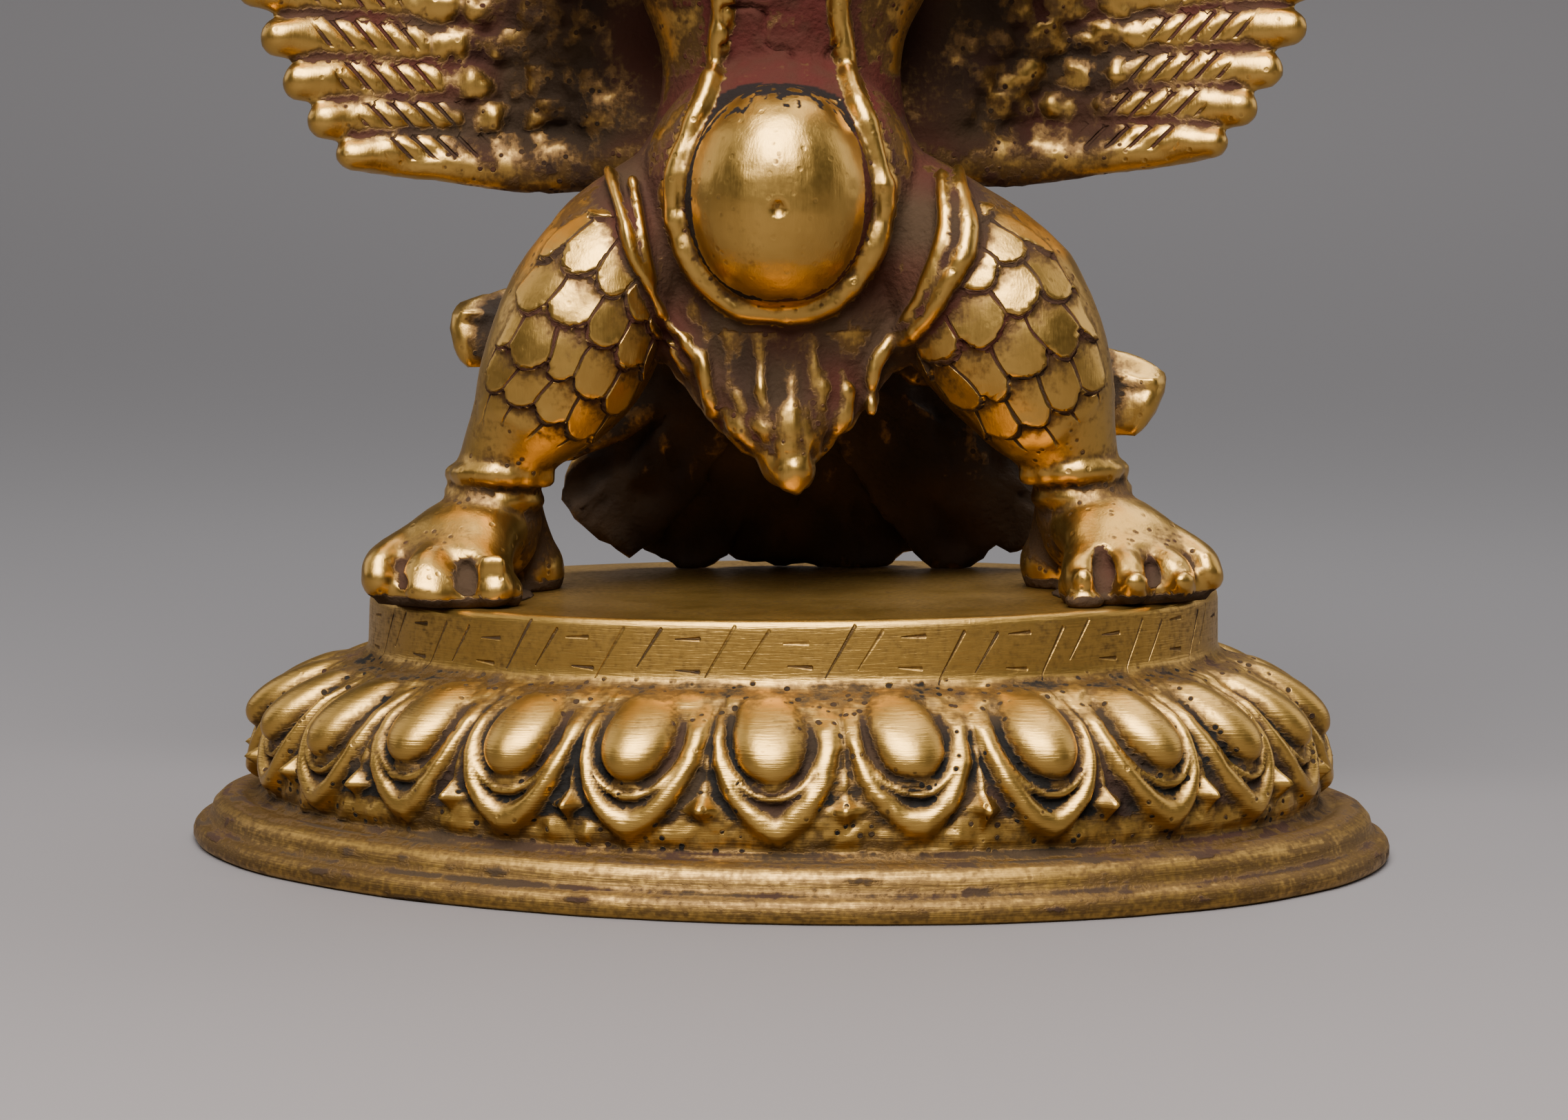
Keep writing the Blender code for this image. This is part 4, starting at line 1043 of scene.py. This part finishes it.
# Inside the wings the brass is set darker near the body and on faces that turn down: painted shade, over the
# coverts' own dull and bright patches.
inside = 0.2 + 0.36 * far_out**0.7 * covert + 0.5 * raised + 0.55 * speckle + 0.4 * cloud + 0.12 * far_out
inside += 0.35 * np.clip((33.5 - z) / 1, 0, 1) * far_out - 0.3 * np.clip(-facing[:, 2] - 0.4, 0, 1)
wear_and_painted_light = wear_and_painted_light * (1 - inner_wing) + inside * inner_wing
wear_and_painted_light = wear_and_painted_light * (1 - feathered) + feathered * (0.62 + 1.5 * raised + 0.25 * speckle)
# The tail's front is set dark as painted shade; its faces that turn backwards are set bright as painted light, and
# its curls brighter on their upper faces as painted light.
wear_and_painted_light = wear_and_painted_light * (1 - tail) + tail * (-0.1 + 0.3 * raised + 0.4 * speckle * np.clip(raised * 3, 0, 1))
wear_and_painted_light += tail * np.clip(2.5 * facing[:, 1] - 0.6, 0, 1) * (0.55 + 0.5 * raised)
curls = tail * np.clip((np.abs(x) - 24.5) / 2, 0, 1)
wear_and_painted_light += curls * (0.5 + 0.3 * facing[:, 2])
wear_and_painted_light -= 0.7 * (in_pocket(points) > 0.5 * speckle)
# The band round the soles is set dark: partly braze and flux, partly painted shade where the feet meet the plinth.
sole = (z < 0.9) & (y < 8)
wear_and_painted_light = np.where(sole, 0.1 + 0.6 * speckle, wear_and_painted_light)
wear_and_painted_light -= 0.45 * (z < 7) * (np.abs(x) < 20.3) * (y > -6)
wear_and_painted_light = np.where(between, 0.08 + 0.5 * raised + 0.3 * speckle - 0.2 * cracks, wear_and_painted_light)
in_navel = np.hypot(x - NAVEL[0], z - NAVEL[1]) < 0.4
wear_and_painted_light = np.where(on_dome, 0.9 + 0.25 * cloud + 0.2 * speckle - 0.4 * in_navel, wear_and_painted_light)
wear_and_painted_light = np.where(on_cord, 0.8 + 0.8 * raised + 0.3 * speckle, wear_and_painted_light)
store(figure_mesh, "wear_and_painted_light", np.clip(wear_and_painted_light, 0, 1))
reddened = 0.3 + 1.0 * (grain(points, 4, 22) - 0.5) + 0.2 * feathered + 0.35 * (z > 36) * trunk
# Less red on the tail and on the wings' inner parts near the body, where painted shade is set.
reddened -= 0.5 * tail + 0.2 * inner_wing * (1 - far_out) + 0.3 * (z < 12)
store(figure_mesh, "red", np.clip(np.where(between, 0.85 + 0.6 * speckle, np.where(sole, 0, reddened)), 0, 1))
crescent = between & (dome > -0.26 + 0.3 * cloud) & ((x < -0.5) | (z > 34.5))
# Soot comes and goes at random; on the tail and the wings' inner parts near the body it is raised further as
# painted shade.
sooted_and_shaded = 0.4 * tail + 0.2 * inner_wing * (1 - far_out) + 0.9 * (grain(points, 3, 23) - 0.55)
store(figure_mesh, "soot_and_painted_shade", np.clip(np.where(crescent, 0.95, np.where(between | sole, 0.1, sooted_and_shaded)), 0, 1))
pitted = np.where(on_dome, 0.3, 0.45) + 0.1 * (z < 13) + 0.2 * inner_wing
store(figure_mesh, "pitted", np.clip(pitted - 0.3 * scaled, 0, 1))


BRUSH_WIDTH, BRUSH_LENGTH = 0.16, 1.4


def figure_marks(tree, place):
    """The scales' incised outlines, the cuts across the long feathers, and the marks of a wire brush."""
    down, round_, scaled, stripe, bare = (
        add(tree, "ShaderNodeAttribute", attribute_name=key).outputs["Fac"]
        for key in ("scale_down", "scale_round", "scaled", "stripe", "bare")
    )
    row = add(tree, "ShaderNodeMath", {0: down}, operation="FLOOR")
    part = add(tree, "ShaderNodeMath", {0: down}, operation="FRACT")
    odd = add(tree, "ShaderNodeMath", {0: row, 1: 1.0}, operation="PINGPONG")
    shifted = add(tree, "ShaderNodeMath", {0: odd, 1: 0.5, 2: round_}, operation="MULTIPLY_ADD")
    turned = add(tree, "ShaderNodeMath", {0: shifted}, operation="FRACT")
    own = add(tree, "ShaderNodeMath", {0: turned, 1: -0.5}, operation="ADD")
    counted = add(tree, "ShaderNodeMath", {0: shifted, 1: 0.5}, operation="ADD")
    turned_above = add(tree, "ShaderNodeMath", {0: counted}, operation="FRACT")
    above = add(tree, "ShaderNodeMath", {0: turned_above, 1: 2.0, 2: -1.0}, operation="MULTIPLY_ADD")
    flank = add(tree, "ShaderNodeMath", {0: above}, operation="ABSOLUTE")
    bow = add(tree, "ShaderNodeMath", {0: flank, 1: 2.4}, operation="POWER")
    reach = add(tree, "ShaderNodeMath", {0: bow, 1: -SCALE_BOW, 2: SCALE_BOW}, operation="MULTIPLY_ADD")
    rest = add(tree, "ShaderNodeMath", {0: part, 1: reach}, operation="SUBTRACT")
    below = add(tree, "ShaderNodeMath", {0: rest, 1: SCALE_ROW}, operation="MULTIPLY")
    middle = add(tree, "ShaderNodeMath", {0: own}, operation="ABSOLUTE")
    side = add(tree, "ShaderNodeMath", {0: middle, 1: -3.2, 2: 1.6}, operation="MULTIPLY_ADD")
    covered = add(tree, "ShaderNodeMath", {0: below, 1: 0.0}, operation="LESS_THAN")
    beside = add(tree, "ShaderNodeMath", {0: covered, 1: 9.0, 2: side}, operation="MULTIPLY_ADD")
    edge = add(tree, "ShaderNodeMath", {0: below}, operation="ABSOLUTE")
    gap = add(tree, "ShaderNodeMath", {0: edge, 1: beside}, operation="MINIMUM")
    pressed = add(tree, "ShaderNodeTexNoise", {"Vector": place, "Scale": 1 / (2.2 * MM), "Detail": 2.0})
    inner = add(tree, "ShaderNodeMath", {0: pressed, 1: 0.1}, operation="MULTIPLY")
    outer = add(tree, "ShaderNodeMath", {0: pressed, 1: 0.3, 2: 0.05}, operation="MULTIPLY_ADD")
    line = add(tree, "ShaderNodeMapRange", {0: gap, 1: inner, 2: outer, 3: scaled, 4: 0.0})
    barb = add(tree, "ShaderNodeMath", {0: stripe}, operation="FRACT")
    centred = add(tree, "ShaderNodeMath", {0: barb, 1: -0.5}, operation="ADD")
    away = add(tree, "ShaderNodeMath", {0: centred}, operation="ABSOLUTE")
    groove = add(tree, "ShaderNodeMapRange", {0: away, 1: 0.05, 2: 0.13, 3: bare, 4: 0.0})
    cuts = add(tree, "ShaderNodeMath", {0: line, 1: groove}, operation="MAXIMUM")
    narrow = [1 / (size * MM) for size in (BRUSH_WIDTH, BRUSH_WIDTH, BRUSH_LENGTH)]
    stretched = add(tree, "ShaderNodeMapping", {"Vector": place, "Scale": narrow})
    brushed = add(tree, "ShaderNodeTexNoise", {"Vector": stretched, "Scale": 1.0, "Detail": 3.0})
    faint = add(tree, "ShaderNodeMath", {0: brushed, 1: 0.4, 2: 0.3}, operation="MULTIPLY_ADD")
    return cuts, faint


# Rubbed cast brass: warm yellow on the high spots, with dull red pigment and soot-black wax in the hollows. Its
# dark colours also stand for painted shade, and its bright ones for painted light, where the figure's values are
# set so.
rubbed_brass = aged_brass(
    "rubbed cast brass", "#c49b51", "#a07b3d", "#61482b", "#38291b", "#441c16", "#171412", 0.27, marks=figure_marks
)
turned = points @ np.array(Matrix.Rotation(FIGURE_TURN, 3, "Z")).T
lean = LEAN * np.sin(np.clip(turned[:, 2] / LEAN_HEIGHT, 0, 1) * math.pi / 2)
turned = turned * FIGURE_SCALE + (0, 0, PLINTH_TOP)
# The limbs stand straight while the trunk leans, and the left wing hangs a little lower than the right.
limb = np.clip((np.abs(x) - 9) / 5, 0, 1) * np.clip((np.where(x < 0, 33, 30.5) - z) / 5, 0, 1)
limb *= np.clip((z - 9) / 6, 0, 1)
turned[:, 0] -= lean * (1 - limb)
turned[:, 2] -= 0.5 * np.clip((-x - 14) / 8, 0, 1) * wing * np.clip((48 - z) / 10, 0, 1)
figure_mesh.vertices.foreach_set("co", settled(turned).ravel())
figure_mesh.update()
figure_mesh.materials.clear()
figure_mesh.materials.append(rubbed_brass)
figure_mesh.shade_smooth()
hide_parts("garuda_figure")
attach(figure, "root")

# Studio: a sheet of pale grey paper that sweeps up into a wall all round, and four soft lights. The paper's grey
# changes a little from front to back: painted light, the lights' falloff set into its colour.

# Where the paper's greys run, front to back, and the greys themselves: painted light set into the paper's colour.
PAPER_FRONT, PAPER_BACK = -0.6, 1.0
PAPER_GREYS_WITH_PAINTED_LIGHT = (
    (0.06, "#4c494a"),
    (0.22, "#68625f"),
    (0.3, "#736c6a"),
    (0.41, "#4f4c4d"),
    (0.55, "#5a5859"),
    (0.73, "#504e4f"),
    (0.95, "#807d7e"),
)


def bowl():
    """A round floor that rises more and more steeply away from the middle, so that no view shows an edge."""
    bm = bmesh.new()
    rows = [(r, 0.36 * max(0, r - 0.3) ** 2.2) for r in np.linspace(0, 1.55, 60)]
    rows += [(1.6 + 0.1 * k, 0.62 + 0.3 * (k + 1) ** 1.3) for k in range(5)]
    verts = [bm.verts.new((r, 0, z)) for r, z in rows]
    edges = [bm.edges.new(pair) for pair in zip(verts, verts[1:])]
    bmesh.ops.spin(bm, geom=verts + edges, cent=(0, 0, 0), axis=(0, 0, 1), angle=2 * math.pi, steps=96)
    bmesh.ops.remove_doubles(bm, verts=bm.verts, dist=1e-5)
    bmesh.ops.recalc_face_normals(bm, faces=bm.faces)
    mesh = bpy.data.meshes.new("studio_floor")
    bm.to_mesh(mesh)
    bm.free()
    mesh.shade_smooth()
    return mesh


paper = bpy.data.materials.new("matt grey background paper")
paper.use_nodes = True
paper_shader = paper.node_tree.nodes["Principled BSDF"]
paper_place = add(paper.node_tree, "ShaderNodeTexCoord").outputs["Object"]
paper_axes = add(paper.node_tree, "ShaderNodeSeparateXYZ", {0: paper_place})
paper_span = {0: paper_axes.outputs["Y"], 1: PAPER_FRONT, 2: PAPER_BACK}
paper_reach = add(paper.node_tree, "ShaderNodeMapRange", paper_span)
paper_painted_light_ramp = add(paper.node_tree, "ShaderNodeValToRGB", {0: paper_reach})
paper_painted_light_ramp.color_ramp.interpolation = "B_SPLINE"
while len(paper_painted_light_ramp.color_ramp.elements) < len(PAPER_GREYS_WITH_PAINTED_LIGHT):
    paper_painted_light_ramp.color_ramp.elements.new(0.5)
for stop, (reach, grey) in zip(paper_painted_light_ramp.color_ramp.elements, PAPER_GREYS_WITH_PAINTED_LIGHT):
    stop.position, stop.color = reach, linear(grey)
paper.node_tree.links.new(paper_painted_light_ramp.outputs["Color"], paper_shader.inputs["Base Color"])
paper_shader.inputs["Roughness"].default_value = 0.7
floor = bpy.data.objects.new("studio_floor", bowl())
floor.data.materials.append(paper)
bpy.context.scene.collection.objects.link(floor)

world = bpy.data.worlds.new("studio")
bpy.context.scene.world = world
world.use_nodes = True
world.node_tree.nodes["Background"].inputs["Color"].default_value = (0.87, 0.84, 0.82, 1)
world.node_tree.nodes["Background"].inputs["Strength"].default_value = 0.11

for name, place, size, watts in (
    ("window light", (-0.05, -0.42, 0.56), 0.5, 17),
    ("top light", (0.12, 0.28, 0.8), 0.6, 6.8),
    ("side light", (0.7, 0.2, 0.4), 0.6, 1.8),
    ("left light", (-0.7, 0.2, 0.45), 0.6, 1.6),
):
    light = bpy.data.lights.new(name, "AREA")
    light.size = size
    light.energy = watts
    lamp = bpy.data.objects.new(name, light)
    lamp.location = place
    lamp.rotation_euler = (Vector((0, 0, 0.05)) - Vector(place)).to_track_quat("-Z", "Y").to_euler()
    lamp.visible_camera = False
    bpy.context.scene.collection.objects.link(lamp)

PHOTO_WIDTH = 2274
CAMERA_AWAY = 0.2678
CAMERA_UP = 0.0484
CAMERA_SIDE = -0.0007
LOOKS_DOWN, LOOKS_FROM_RIGHT, ROLL = (math.radians(a) for a in (5.683, 2.185, 0.805))
FOCAL_PIXELS = 5080.6

backwards = Vector(
    (
        math.sin(LOOKS_FROM_RIGHT) * math.cos(LOOKS_DOWN),
        -math.cos(LOOKS_FROM_RIGHT) * math.cos(LOOKS_DOWN),
        math.sin(LOOKS_DOWN),
    )
)
rightwards = Vector((math.cos(LOOKS_FROM_RIGHT), math.sin(LOOKS_FROM_RIGHT), 0))
upwards = backwards.cross(rightwards)
away = Vector((math.sin(LOOKS_FROM_RIGHT), -math.cos(LOOKS_FROM_RIGHT), 0)) * CAMERA_AWAY
lens = bpy.data.cameras.new("camera")
lens.sensor_width = 36
lens.lens = FOCAL_PIXELS / PHOTO_WIDTH * lens.sensor_width
lens.clip_start = 0.01
camera = bpy.data.objects.new("camera", lens)
camera.matrix_world = (
    Matrix.Translation(away + Vector((0, 0, CAMERA_UP)) + rightwards * CAMERA_SIDE)
    @ Matrix((rightwards, upwards, backwards)).transposed().to_4x4()
    @ Matrix.Rotation(ROLL, 4, "Z")
)
bpy.context.scene.collection.objects.link(camera)
bpy.context.scene.camera = camera
